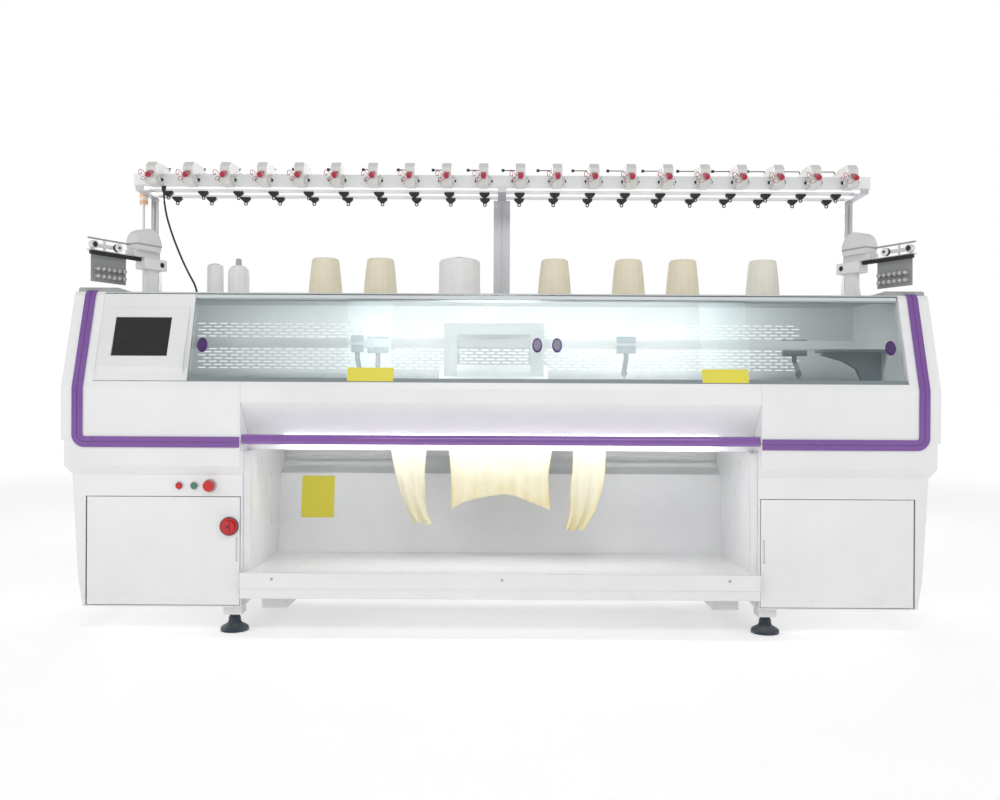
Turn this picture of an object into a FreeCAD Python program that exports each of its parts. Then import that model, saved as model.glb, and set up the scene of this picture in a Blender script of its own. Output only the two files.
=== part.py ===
# Computerised flat knitting machine: a V-bed machine with a carriage, sliding clear doors and a creel.
# Millimetres, +Z up. The pieces are drawn with y counted back from the front face of the casings.
# On export they move forward, so that the origin lies on the floor under the middle of the footprint.
import FreeCAD, Part
import os
from math import atan2, cos, hypot, pi, radians, sin, tan

Vec = FreeCAD.Vector

# whole machine
half_length = 1875
body_depth = 880
front_reach = 5                     # the purple trim stands this far out of the front face
body_top = 1478
casing_bottom = 830
wall = 5                            # thickness of the casings' skin
bay_half = 1112                     # inner faces of the two end cabinets
end_inner = 1743                    # inner walls of the two end housings

# leaning front, which carries the screen and the clear doors
kink_z = 1054
lean_top_y = 130
lean_top_z = 1467
sill_s = 29                         # distances up the leaning face from the kink
top_s = 434

# clear doors and their tracks
window_left = -1343
window_right = 1736
door_width = 865
pane = 5
outer_t = 8                         # depth of the two tracks behind the leaning face
inner_t = 22
door_low_s = 38
door_high_s = 428
groove_gap = 0.5
door_left_x = {1: -1343, 2: -667, 3: 200, 4: 871}
door_track = {1: inner_t, 2: outer_t, 3: outer_t, 4: inner_t}
pull_side = {1: -1, 2: 1, 3: -1, 4: 1}
pull_inset = 42
pull_s = 205

# end cabinets
cabinet_bottom = 113
recess = 40                         # how far the cabinet front stands back under its chamfer
door_inner_x = 1121
door_outer_x = 1782
door_z = (121, 585)
door_thick = 18
hinge_x = door_outer_x - door_thick / 2
hinge_pin_r = 4
run_fit = 0.05

# legs and frame
post_in = 1118
post_out = 1196
post_front_y = 60
post_rear_y = 742
post_size = 78
post_bottom = 75
frame_top = 900
foot_r = 60

# knitting head
gap_y = 320                         # the two beds meet above this line
bed_half_gap = 4
bed_top = 1105
bed_run = 200                       # length of a bed down its slope
bed_thick = 30
bed_half = 990
beam_half = 1440
slope = radians(45)
carriage_x = -33
cover_half = 240
arch_half = 221
rail_y = 140
rail_size = 25
slide_gap = 0.3

# carriage drive
pulley_x = 1560
pulley_z = 1010
pulley_r = 60
belt_y = 532
belt_width = 18
belt_thick = 3
shaft_r = 9

# yarn rails and carriers
yarn_rail_y = (250, 320, 390)
yarn_rail_z = (1246, 1283)
yarn_rail_half = 1600
yarn_rail_thick = 8
carriers = {1: (-651, 0, 52), 2: (-567, 1, 96), 3: (565, 0, 84), 4: (1370, 2, 110)}

# take-down rollers
roller_r = 30
roller_z = 868
roller_offset = 33

# creel
shelf_top = 1496
post_y = 640
arm_z = 1990
creel_half = 1735
post_x = 1705
front_rail_y = 430
rod_y = (560, 690)
rod_r = 8
rod_z = 2018
rail_top = 2068
unit_count = 20
unit_pitch = 170.5
feeler_axis = (540, 2091)

# start bar
bar_r = 21.5
bar_y = 21
bar_z = 835
bar_half = 1105

# control buttons and main switch
button_z = 634
button_x = {"stop_button": -1381, "start_button": -1317, "emergency_stop": -1251}
switch_x = -1166
switch_z = 460

# signal lamp cable
cord_r = 4.5
cord_route = [(-1596, 430, 1985), (-1591, 425, 1925), (-1569, 402, 1851), (-1531, 370, 1762),
              (-1482, 333, 1665), (-1430, 296, 1577), (-1391, 268, 1522), (-1383, 262, 1492)]

parts = {}


def box(x0, x1, y0, y1, z0, z1):
    return Part.makeBox(x1 - x0, y1 - y0, z1 - z0, Vec(x0, y0, z0))


def rod_x(x0, x1, y, z, r):
    return Part.makeCylinder(r, x1 - x0, Vec(x0, y, z), Vec(1, 0, 0))


def rod_y_axis(x, y0, y1, z, r):
    return Part.makeCylinder(r, y1 - y0, Vec(x, y0, z), Vec(0, 1, 0))


def rod_z_axis(x, y, z0, z1, r):
    return Part.makeCylinder(r, z1 - z0, Vec(x, y, z0), Vec(0, 0, 1))


def side_prism(outline, x0, x1):
    """A side view outline of (y, z) points, run from x0 to x1."""
    points = [Vec(x0, y, z) for y, z in outline]
    face = Part.Face(Part.makePolygon(points + points[:1]))
    return face.extrude(Vec(x1 - x0, 0, 0))


def front_prism(outline, y0, y1):
    """A front view outline of (x, z) points, run from y0 to y1."""
    points = [Vec(x, y0, z) for x, z in outline]
    face = Part.Face(Part.makePolygon(points + points[:1]))
    return face.extrude(Vec(0, y1 - y0, 0))


def join(shapes):
    return shapes[0].fuse(shapes[1:]).removeSplitter()


def mirror_x(shape):
    return shape.mirror(Vec(0, 0, 0), Vec(1, 0, 0))


def mirror_bed(shape):
    return shape.mirror(Vec(0, gap_y, 0), Vec(0, 1, 0))


lean = atan2(lean_top_y, lean_top_z - kink_z)


def on_lean(s, t=0):
    """A point s up the leaning face from its kink and t behind it."""
    return (s * sin(lean) + t * cos(lean), kink_z + s * cos(lean) - t * sin(lean))


def on_bed(s, lift):
    """A point s up the front bed from its lower edge and lift above its needle face."""
    foot_y = gap_y - bed_half_gap - bed_run * cos(slope)
    foot_z = bed_top - bed_run * sin(slope)
    return (foot_y + s * cos(slope) - lift * sin(slope), foot_z + s * sin(slope) + lift * cos(slope))


# ---- frame, feet and knitting head ----

def base_frame():
    beam_low, beam_high = 160, 230
    pieces = []
    for side in (-1, 1):
        x0, x1 = sorted((side * post_in, side * post_out))
        for y in (post_front_y, post_rear_y):
            pieces.append(box(x0, x1, y, y + post_size, post_bottom, frame_top))
        pieces.append(box(x0, x1, post_front_y, post_rear_y + post_size, beam_low, beam_high))
        pieces.append(box(x0, x1, post_front_y, post_rear_y + post_size, 800, frame_top))
        skid = sorted((side * 920, side * 1030))
        pieces.append(box(skid[0], skid[1], post_front_y, post_rear_y + post_size, 105, beam_low))
        for y in (post_front_y, post_rear_y + post_size - 8):
            gusset = [(side * post_in, beam_low), (side * post_in, 100), (side * 1060, beam_low)]
            pieces.append(front_prism(gusset, y, y + 8))
    for y in (post_front_y, post_rear_y + 18):
        pieces.append(box(-post_out, post_out, y, y + 60, beam_low, beam_high))
    return join(pieces)


def levelling_feet():
    profile = [(0, 0), (foot_r, 0), (foot_r, 14), (foot_r - 6, 20), (30, 34), (26, 46), (26, 58),
               (22, 58), (22, post_bottom), (0, post_bottom)]
    points = [Vec(r, 0, z) for r, z in profile]
    foot = Part.Face(Part.makePolygon(points + points[:1])).revolve(Vec(0, 0, 0), Vec(0, 0, 1), 360)
    feet = []
    for x in (-(post_in + post_out) / 2, (post_in + post_out) / 2):
        for y in (post_front_y, post_rear_y):
            feet.append(foot.translated(Vec(x, y + post_size / 2, 0)))
    return Part.makeCompound(feet)


def bed_beam():
    low, high = frame_top, frame_top + 30
    base = box(-beam_half, beam_half, rail_y - 10, 300, low, high)
    toe, heel = on_bed(0, -bed_thick), on_bed(150, -bed_thick)
    wedge = side_prism([(toe[0], high - 2), (heel[0], high - 2), heel, toe], -bed_half, bed_half)
    hanger = box(1020, 1030, 240, 300, 836, low + 2)
    return join([base, wedge, hanger, mirror_x(hanger)])


def bed_support():
    """Two beams under the beds, ends tied across, with the take-down rollers' hangers and pulley posts."""
    pieces = [bed_beam(), mirror_bed(bed_beam())]
    for side in (-1, 1):
        tie = sorted((side * (beam_half - 60), side * beam_half))
        pieces.append(box(tie[0], tie[1], 300, 2 * gap_y - 300, frame_top, frame_top + 30))
        hanger = sorted((side * 1020, side * 1030))
        pieces.append(box(hanger[0], hanger[1], 240, 400, 836, 896))
        foot = sorted((side * (beam_half - 40), side * (pulley_x + 60)))
        pieces.append(box(foot[0], foot[1], 440, 576, frame_top - 20, frame_top))
        post = sorted((side * (pulley_x - 60), side * (pulley_x + 60)))
        pieces.append(box(post[0], post[1], 566, 576, frame_top - 20, pulley_z + 50))
    support = join(pieces)
    for y in (gap_y - roller_offset, gap_y + roller_offset):
        support = support.cut(rod_x(-1040, 1040, y, roller_z, 10 + run_fit))
    idler_pin = rod_y_axis(pulley_x, 531, 567, pulley_z, shaft_r)
    motor_hole = rod_y_axis(-pulley_x, 560, 580, pulley_z, shaft_r + 1)
    return support.fuse(idler_pin).cut(motor_hole).removeSplitter()


def needle_beds():
    outline = [on_bed(bed_run, 0), on_bed(0, 0), on_bed(0, -bed_thick),
               (gap_y - bed_half_gap, bed_top - bed_thick / cos(slope))]
    front = side_prism(outline, -bed_half, bed_half)
    return Part.makeCompound([front, mirror_bed(front)])


def guide_rails():
    low = frame_top + 30
    front = box(-beam_half, beam_half, rail_y, rail_y + rail_size, low, low + rail_size)
    return Part.makeCompound([front, mirror_bed(front)])


def carriage_cover():
    x0, x1 = carriage_x - cover_half, carriage_x + cover_half
    lift = 25
    line_offset = on_bed(0, lift)[1] - on_bed(0, lift)[0]
    outer = side_prism([(120, 966), (120, 1085), (201, 1166), (232, 1166), (232, 232 + line_offset),
                        (966 - line_offset, 966)], x0, x1)
    room = side_prism([(124, 960), (124, 1083), (203, 1162), (228, 1162), (228, 224 + line_offset),
                       (960 - line_offset - 4, 960)], x0 + 4, x1 - 4)
    return outer.cut(room)


def carriage_covers():
    """Front and rear covers of the carriage; the rear one carries the clamp on the drive belt."""
    rear = mirror_bed(carriage_cover())
    y0 = 2 * gap_y - 124
    top = pulley_z + pulley_r + slide_gap
    jaws = [box(carriage_x - 40, carriage_x + 40, y0, belt_y - 2, top - 30, top + 30),
            box(carriage_x - 40, carriage_x + 40, belt_y - 4, belt_y + belt_width, top - 30, top - 1),
            box(carriage_x - 40, carriage_x + 40, belt_y - 4, belt_y + belt_width,
                top + belt_thick + 1, top + 30)]
    return Part.makeCompound([carriage_cover(), join([rear] + jaws)])


def carriage_arch():
    outline = [(150, 1115), (150, 1351), (164, 1365), (476, 1365), (490, 1351), (490, 1115),
               (472, 1133), (472, 1345), (168, 1345), (168, 1133)]
    bridge = side_prism(outline, carriage_x - arch_half, carriage_x + arch_half)
    leg = 58
    window = box(carriage_x - arch_half + leg, carriage_x + arch_half - leg, 140, 500, 1100, 1298)
    return bridge.cut(window)


def cam_plates():
    """Cam plates over each bed, with the runner blocks that ride on the guide rails."""
    outline = [on_bed(10, 3), on_bed(185, 3), on_bed(185, 25), on_bed(10, 25)]
    plate = side_prism(outline, carriage_x - cover_half + 10, carriage_x + cover_half - 10)
    low, high = frame_top + 34, 966
    pieces = [plate]
    for x in (carriage_x - cover_half + 14, carriage_x + cover_half - 114):
        block = box(x, x + 100, rail_y - 12, rail_y + rail_size + 8, low, high)
        channel = box(x - 1, x + 101, rail_y - slide_gap, rail_y + rail_size + slide_gap,
                      low - 1, frame_top + 30 + rail_size + slide_gap)
        web = side_prism([(158, 960), on_bed(10, 3), on_bed(10, 20), (158, 966)], x, x + 100)
        pieces += [block.cut(channel), web]
    front = join(pieces)
    return Part.makeCompound([front, mirror_bed(front)])


def pulley(x):
    body = rod_y_axis(x, belt_y, belt_y + belt_width, pulley_z, pulley_r)
    flange = rod_y_axis(x, belt_y + belt_width + 1, belt_y + belt_width + 5, pulley_z, pulley_r + 6)
    hub = rod_y_axis(x, belt_y, belt_y + belt_width + 5, pulley_z, 22)
    bore = rod_y_axis(x, belt_y - 5, belt_y + belt_width + 20, pulley_z, shaft_r + run_fit)
    return join([body, flange, hub]).cut(bore)


def drive_belt():
    inner_r = pulley_r + slide_gap

    def loop(r):
        run = box(-pulley_x, pulley_x, belt_y, belt_y + belt_width, pulley_z - r, pulley_z + r)
        ends = [rod_y_axis(x, belt_y, belt_y + belt_width, pulley_z, r) for x in (-pulley_x, pulley_x)]
        return join([run] + ends)

    return loop(inner_r + belt_thick).cut(loop(inner_r))


def drive_motor():
    shaft = rod_y_axis(-pulley_x, belt_y - 4, 600, pulley_z, shaft_r)
    flange = box(-pulley_x - 50, -pulley_x + 50, 576, 586, pulley_z - 50, pulley_z + 50)
    body = rod_y_axis(-pulley_x, 584, 640, pulley_z, 48)
    return join([shaft, flange, body])


# ---- yarn rails and carriers ----

def yarn_rails():
    rails = []
    for y in yarn_rail_y:
        rails.append(box(-yarn_rail_half, yarn_rail_half, y - yarn_rail_thick / 2,
                         y + yarn_rail_thick / 2, yarn_rail_z[0], yarn_rail_z[1]))
    return Part.makeCompound(rails)


def rail_brackets():
    top = yarn_rail_z[0]
    outline = [(1470, top), (end_inner, top), (end_inner, 900), (1655, 900), (1655, 1110), (1630, 1160),
               (1570, 1195), (1470, 1222)]
    web = front_prism(outline, 305, 335)
    plate = box(1470, end_inner, 236, 404, top - 10, top)
    bracket = join([web, plate])
    return Part.makeCompound([bracket, mirror_x(bracket)])


def yarn_carrier(number):
    """A block that hangs on one yarn rail, with an arm down to the yarn tip over the needles."""
    x, lane, width = carriers[number]
    y = yarn_rail_y[lane]
    tip_y = gap_y + 8 * (lane - 1)
    clear = slide_gap + 0.2
    block = box(x - width / 2, x + width / 2, y - 16, y + 16, 1222, 1298)
    slot = box(x - width, x + width, y - yarn_rail_thick / 2 - clear, y + yarn_rail_thick / 2 + clear,
               yarn_rail_z[0] - clear, yarn_rail_z[1] + clear)
    window = box(x - width, x + width, y - 20, y, 1256, 1272)
    arm_w = 22
    half = 2.5
    arm = side_prism([(y - half, 1226), (y + half, 1226), (y + half, 1196), (tip_y + half, 1150),
                      (tip_y + half, 1128), (tip_y - half, 1128), (tip_y - half, 1150),
                      (y - half, 1196)], x - arm_w / 2, x + arm_w / 2)
    leaf = front_prism([(x - 9, 1146), (x + 9, 1146), (x + 15, 1133), (x, 1112), (x - 15, 1133)],
                       tip_y - half, tip_y + half)
    return join([block.cut(slot).cut(window), arm, leaf])


# ---- casings ----

def end_outline():
    top_y, top_z = on_lean(top_s - 8)
    return [(0, casing_bottom), (0, kink_z), (top_y, top_z), (top_y + 12, body_top), (750, body_top),
            (body_depth, kink_z), (body_depth, casing_bottom)]


def end_room():
    top_y, top_z = on_lean(top_s - 8, wall)
    return [(wall, casing_bottom - 1), (wall, kink_z - 1), (top_y, top_z - 3), (top_y + 12, body_top - wall),
            (750 - 4, body_top - wall), (body_depth - wall, kink_z - 2), (body_depth - wall, casing_bottom - 1)]


def front_skin(x0, x1, low):
    outline = [(0, low), (0, kink_z), on_lean(sill_s), on_lean(sill_s, 34), on_lean(sill_s - 5, 34),
               on_lean(sill_s - 5, wall), (wall, kink_z - 1), (wall, low)]
    return side_prism(outline, x0, x1)


def upper_casing():
    """Right-hand upper casing: hollow end housing, front skin below the window and the bar's boss."""
    shell = side_prism(end_outline(), end_inner, half_length)
    room = side_prism(end_room(), end_inner + wall, half_length - wall)
    skin = front_skin(bay_half, end_inner + 1, casing_bottom)
    cheek = box(bay_half, bay_half + wall, 0, rail_y - 24, casing_bottom, kink_z)
    boss = rod_x(bay_half - 4, bay_half + 2, bar_y, bar_z, bar_r + 1.5)
    pin = rod_x(bar_half - 30, bay_half, bar_y, bar_z, 8)
    flat = box(bay_half - 10, bay_half + 10, bar_y - 40, bar_y + 40, casing_bottom - 60, casing_bottom)
    return join([shell.cut(room), skin, cheek, boss.cut(flat), pin])


def band(half_width, y0, y1):
    """Front view of the left trim's run: down the end, round the corner and in along the bottom."""
    centre_x, centre_z, bend, end_x = -1805, 823, 32, -1114

    def corner(radius, x_side, z_side):
        middle = Vec(centre_x + bend - radius * cos(pi / 4), y0, centre_z + bend - radius * sin(pi / 4))
        return Part.Arc(x_side, middle, z_side).toShape()

    out_r, in_r = bend + half_width, bend - half_width
    a = Vec(centre_x - half_width, y0, 1500)
    b = Vec(centre_x - half_width, y0, centre_z + bend)
    c = Vec(centre_x + bend, y0, centre_z - half_width)
    d = Vec(end_x, y0, centre_z - half_width)
    e = Vec(end_x, y0, centre_z + half_width)
    f = Vec(centre_x + bend, y0, centre_z + half_width)
    g = Vec(centre_x + half_width, y0, centre_z + bend)
    h = Vec(centre_x + half_width, y0, 1500)
    edges = [Part.makeLine(a, b), corner(out_r, b, c), Part.makeLine(c, d), Part.makeLine(d, e),
             Part.makeLine(e, f), corner(in_r, f, g), Part.makeLine(g, h), Part.makeLine(h, a)]
    return Part.Face(Part.Wire(edges)).extrude(Vec(0, y1 - y0, 0))


def trim_skin(inner, outer):
    """The space between two distances out from the casing's front, over its top edge."""
    top_y, top_z = on_lean(top_s - 8)
    nearer = [(-inner, 780), (-inner, kink_z), (top_y - inner, top_z), (top_y + 12, body_top + inner),
              (148, body_top + inner)]
    further = [(-outer, 780), (-outer, kink_z + 1), (top_y - outer, top_z + 2),
               (top_y + 11, body_top + outer), (148, body_top + outer)]
    return side_prism(nearer + further[::-1], -half_length, -bay_half)


def side_trims():
    band_half = 23
    groove_half = 1.5
    left = band(band_half, -20, 220).common(trim_skin(0, front_reach))
    left = left.cut(band(groove_half, -20, 220).common(trim_skin(front_reach - 2, front_reach + 2)))
    return Part.makeCompound([left, mirror_x(left)])


def end_caps():
    cap = box(1690, 1868, 150, 700, body_top, body_top + 20)
    edge = [e for e in cap.Edges if e.BoundBox.ZMin > body_top + 19]
    cap = cap.makeChamfer(6, edge)
    return Part.makeCompound([cap, mirror_x(cap)])


def centre_fascia():
    outline = [(0, 992), (0, kink_z), on_lean(sill_s), on_lean(sill_s, 34), on_lean(sill_s - 5, 34),
               on_lean(sill_s - 5, wall), (wall, kink_z - 1), (wall, 994), (134, 852), (134, 786),
               (130, 786), (130, 850)]
    return side_prism(outline, -bay_half + 0.5, bay_half - 0.5)


def screen_housing():
    """Leaning panel left of the doors, with the raised wedge that holds the screen."""
    x0, x1 = -end_inner + 0.5, window_left - 0.5
    panel = side_prism([on_lean(sill_s + 3), on_lean(top_s), on_lean(top_s, 4), on_lean(sill_s + 3, 4)],
                       x0, x1)
    low_s, high_s = 64, 368
    rise = 20
    face = side_prism([on_lean(low_s, 4), on_lean(low_s, 0), on_lean(low_s + 22, -rise),
                       on_lean(high_s, -2), on_lean(high_s, 4)], -1729, -1362)
    side_cut = Part.makeBox(40, 400, 900, Vec(0, -200, 900))
    side_cut.rotate(Vec(0, -200, 900), Vec(0, 0, 1), -45)
    right = side_cut.translated(Vec(-1362, 20, 0))
    housing = join([panel, face.cut(right)])
    well = side_prism([on_lean(138, -40), on_lean(321, -40), on_lean(321, -2), on_lean(138, -2)],
                      -1677, -1435)
    return housing.cut(well)


def screen_glass():
    return side_prism([on_lean(139, -7), on_lean(320, -7), on_lean(320, -2), on_lean(139, -2)],
                      -1676, -1436)


def rear_hood():
    """Top cover folded down into the louvred back of the knitting space."""
    x0, x1 = -end_inner + 0.5, end_inner - 0.5
    y_front, y_back = 168, 660
    top = box(x0, x1, y_front, y_back, body_top - 4, body_top)
    front_fold = box(x0, x1, y_front, y_front + 4, body_top - 16, body_top)
    back = box(x0, x1, y_back - 4, y_back, kink_z, body_top)
    nose = side_prism([(131.5, 1471.5), (139, body_top), (170, body_top), (170, body_top - 4),
                       (141, body_top - 4)], x0, x1)
    hood = join([top, front_fold, back, nose])
    pitch, slot_len, slot_high, row_pitch = 54, 39, 5, 15.6
    columns, rows = 55, 15
    slots = []
    for row in range(rows):
        z = 1162 + row * row_pitch
        shift = (row % 2) * pitch / 2
        for column in range(columns):
            x = -1504 + shift + column * pitch
            slots.append(box(x, x + slot_len, y_back - 10, y_back + 10, z, z + slot_high))
    return hood.cut(Part.makeCompound(slots))


def rear_cover():
    """Folded sheet behind the beds: a ledge under the louvres and the back of the machine."""
    x0, x1 = -end_inner + 0.5, end_inner - 0.5
    ledge = box(x0, x1, 660, body_depth, kink_z - 4, kink_z)
    back = box(x0, x1, body_depth - 4, body_depth, casing_bottom, kink_z)
    low_back = box(-bay_half + 0.5, bay_half - 0.5, body_depth - 4, body_depth, 300, casing_bottom + 1)
    return join([ledge, back, low_back])


def cabinet_block(inset, extra_top):
    """Right-hand cabinet's outer form, or its room when inset by the wall."""
    i = inset
    side = [(i, casing_bottom + extra_top), (i, 721 + i), (recess + i, 680 + i),
            (recess + i, cabinet_bottom + i), (body_depth - i, cabinet_bottom + i),
            (body_depth - i, casing_bottom + extra_top)]
    front = [(bay_half + i, cabinet_bottom + i), (1796 - i, cabinet_bottom + i), (1816 - i, 243),
             (1841 - i, 680), (1861 - i, 721), (1861 - i, casing_bottom + extra_top),
             (bay_half + i, casing_bottom + extra_top)]
    return side_prism(side, bay_half - 10, half_length).common(front_prism(front, -10, body_depth + 10))


def cabinet_right():
    """Right-hand cabinet with its hinge plates and pins; the top is open into the upper casing."""
    shell = cabinet_block(0, 0).cut(cabinet_block(wall, 5))
    opening = box(door_inner_x - 3, door_outer_x + 3, recess - 1, recess + wall + 1,
                  door_z[0] - 3, door_z[1] + 3)
    pin_y = recess + door_thick / 2
    low_top = door_z[0] - 3
    plate = box(hinge_x - 20, hinge_x + 20, recess + wall - 1, recess + 60, door_z[1] + 3, door_z[1] + 8)
    lip = box(hinge_x - 20, hinge_x + 20, recess + wall - 1, recess + wall + 4, door_z[1] + 3, door_z[1] + 30)
    reach = box(hinge_x - 12, hinge_x + 12, recess, recess + 30, door_z[1] + 3, door_z[1] + 8)
    pins = [rod_z_axis(hinge_x, pin_y, door_z[1] - 15, door_z[1] + 4, hinge_pin_r),
            rod_z_axis(hinge_x, pin_y, low_top - 2, door_z[0] + 15, hinge_pin_r)]
    shell = join([shell.cut(opening), plate, lip, reach] + pins)
    for y in (post_front_y, post_rear_y):
        shell = shell.cut(box(post_in - 2, post_out + 2, y - 2, y + post_size + 2,
                              cabinet_bottom - 1, cabinet_bottom + wall + 1))
    beam_room = box(bay_half - 1, bay_half + wall + 1, post_front_y - 2, post_rear_y + post_size + 2,
                    cabinet_bottom - 1, 232)
    return shell.cut(beam_room)


def cabinet_left():
    shell = mirror_x(cabinet_right())
    for name, x in button_x.items():
        hole_r = 11 if name == "emergency_stop" else 9
        shell = shell.cut(rod_y_axis(x, recess - 5, recess + wall + 5, button_z, hole_r + run_fit))
    return shell


def cabinet_door_right():
    """Door leaf with a rounded hinge edge, blind holes for the pins and a latch slot."""
    y0, y1 = recess, recess + door_thick
    leaf = box(door_inner_x, hinge_x, y0, y1, door_z[0], door_z[1])
    edge = rod_z_axis(hinge_x, recess + door_thick / 2, door_z[0], door_z[1], door_thick / 2)
    door = join([leaf, edge])
    door = door.cut(rod_z_axis(hinge_x, recess + door_thick / 2, door_z[0] - 1, door_z[0] + 17,
                               hinge_pin_r + run_fit))
    door = door.cut(rod_z_axis(hinge_x, recess + door_thick / 2, door_z[1] - 17, door_z[1] + 1,
                               hinge_pin_r + run_fit))
    latch = box(door_inner_x + 8, door_inner_x + 18, y0 - 1, y0 + 8, 310, 410)
    return door.cut(latch)


def cabinet_door_left():
    """Left door, with the pin that the main switch turns on."""
    pin = rod_y_axis(switch_x, recess - 14, recess + 2, switch_z, 6)
    return join([mirror_x(cabinet_door_right()), pin])


def main_switch():
    disc = rod_y_axis(switch_x, recess - 10, recess - 0.5, switch_z, 37)
    knob = rod_y_axis(switch_x, recess - 26, recess - 9, switch_z, 26)
    grip = box(switch_x - 7, switch_x + 7, recess - 36, recess - 24, switch_z - 24, switch_z + 24)
    bore = rod_y_axis(switch_x, recess - 14.5, recess + 1, switch_z, 6 + run_fit)
    return join([disc, knob, grip]).cut(bore)


def push_button(name):
    x = button_x[name]
    if name == "emergency_stop":
        head = rod_y_axis(x, recess - 28, recess - 14, button_z, 24)
        head = head.makeFillet(5, [e for e in head.Edges if e.BoundBox.YMax < recess - 27])
        stem = rod_y_axis(x, recess - 15, recess + 26, button_z, 11)
    else:
        head = rod_y_axis(x, recess - 14, recess - 6, button_z, 13)
        stem = rod_y_axis(x, recess - 7, recess + 26, button_z, 9)
    return join([head, stem])


def start_bar():
    tube = rod_x(-bar_half, bar_half, bar_y, bar_z, bar_r)
    groove = box(-bar_half + 1, bar_half - 1, bar_y - bar_r - 1, bar_y - bar_r + 2.5, bar_z - 6, bar_z - 2)
    bores = [rod_x(side * bar_half - 33, side * bar_half + 33, bar_y, bar_z, 8 + run_fit)
             for side in (-1, 1)]
    return tube.cut(groove).cut(bores[0]).cut(bores[1])


# ---- clear doors ----

def track(s0, s1, groove_low, groove_high):
    x0, x1 = window_left, window_right
    bar = side_prism([on_lean(s0, 3), on_lean(s1, 3), on_lean(s1, 33), on_lean(s0, 33)], x0, x1)
    for t in (outer_t, inner_t):
        groove = side_prism([on_lean(groove_low, t - groove_gap), on_lean(groove_high, t - groove_gap),
                             on_lean(groove_high, t + pane + groove_gap),
                             on_lean(groove_low, t + pane + groove_gap)], x0 - 1, x1 + 1)
        bar = bar.cut(groove)
    return bar


def window_tracks():
    low = track(sill_s, 48, door_low_s - groove_gap, 60)
    high = track(418, top_s, 410, door_high_s + groove_gap)
    return Part.makeCompound([low, high])


def window_door(number):
    """A clear pane with its oval finger pull set through it."""
    x0 = door_left_x[number]
    t = door_track[number]
    sheet = side_prism([on_lean(door_low_s, t), on_lean(door_high_s, t), on_lean(door_high_s, t + pane),
                        on_lean(door_low_s, t + pane)], x0, x0 + door_width)
    x = x0 + pull_inset if pull_side[number] < 0 else x0 + door_width - pull_inset
    y, z = on_lean(pull_s, t - 2.5)
    oval = Part.Ellipse(Vec(0, 0, 0), 31, 20).toShape()
    pull = Part.Face(Part.Wire(oval)).extrude(Vec(0, 0, pane + 5))
    frame = FreeCAD.Matrix(0, 1, 0, x, sin(lean), 0, cos(lean), y, cos(lean), 0, -sin(lean), z, 0, 0, 0, 1)
    return join([sheet, pull.transformGeometry(frame)])


# ---- fabric bay ----

def bay_tray():
    outline = [(8, 155), (8, 197), (4, 197), (4, 265), (576, 265), (576, 262), (7, 262), (7, 200),
               (11, 200), (11, 155)]
    return side_prism(outline, -bay_half + 0.5, bay_half - 0.5)


def bay_liner():
    """Back wall and side plates of the bay, welded into one liner."""
    wall_outline = [(572, 265), (631, 647), (777, 725), (777, 800), (780, 800), (780, 723), (634, 645),
                    (575, 265)]
    back = side_prism(wall_outline, -bay_half + 0.5, bay_half - 0.5)
    outline = [(62, 265), (573, 265), (632, 647), (700, 684), (700, 786), (62, 786)]
    plate = side_prism(outline, 1082, 1086)
    for y, z, high in ((330, 560, 60), (250, 700, 40), (430, 420, 40), (430, 640, 26)):
        plate = plate.cut(box(1080, 1090, y, y + 8, z, z + high))
    flange = box(1086, bay_half - 0.5, 62, 66, 265, 786)
    plate = join([plate, flange])
    return join([back, plate, mirror_x(plate)])


def take_down_roller(y):
    cover = rod_x(-1012, 1012, y, roller_z, roller_r)
    shaft = rod_x(-1029, 1029, y, roller_z, 10)
    return join([cover, shaft])


def knitted_fabric():
    """Three knitted strips, thin where they pass the rollers and roomy where they hang in folds."""
    strips = [[(-505, 786), (-342, 786), (-352, 560), (-300, 440), (-400, 440), (-450, 560)],
              [(-236, 786), (235, 786), (232, 500), (150, 560), (-150, 560), (-236, 500)],
              [(329, 786), (486, 786), (440, 470), (380, 405), (290, 405), (320, 560)]]
    thin, full = 2, 24
    solids = []
    for strip in strips:
        hung = front_prism(strip, gap_y - full, gap_y + full)
        x0, x1 = strip[0][0], strip[1][0]
        solids.append(join([hung, box(x0, x1, gap_y - thin, gap_y + thin, 785, 1092)]))
    return Part.makeCompound(solids)


# ---- creel ----

def cone_shelf():
    plate = box(-1560, 1560, 430, 602, shelf_top - 5, shelf_top)
    runners = [box(-1560, 1560, y, y + 12, body_top, shelf_top - 4) for y in (440, 580)]
    return join([plate] + runners)


def cone_outline(kind):
    """(radius, height) points up the outside of a yarn package."""
    shapes = {"cone": [(80, 0), (80, 6), (63, 186), (58, 190)],
              "slim": [(38, 0), (38, 150), (30, 160)],
              "bobbin": [(36, 0), (46, 8), (50, 30), (48, 130), (30, 150), (14, 156), (14, 186)],
              "wide": [(111, 0), (111, 8), (100, 26), (98, 176), (70, 190), (20, 196)]}
    return shapes[kind]


def yarn_cone(x, kind):
    profile = [(0, 0)] + cone_outline(kind)
    profile.append((0, profile[-1][1]))
    points = [Vec(r, 0, z) for r, z in profile]
    solid = Part.Face(Part.makePolygon(points + points[:1])).revolve(Vec(0, 0, 0), Vec(0, 0, 1), 360)
    return solid.translated(Vec(x, 515, shelf_top))


def yarn_cones():
    places = [(-1376, "slim"), (-1264, "bobbin"), (-846, "cone"), (-582, "cone"), (-202, "wide"),
              (254, "cone"), (609, "cone"), (869, "cone"), (1254, "cone")]
    return Part.makeCompound([yarn_cone(x, kind) for x, kind in places])


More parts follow.
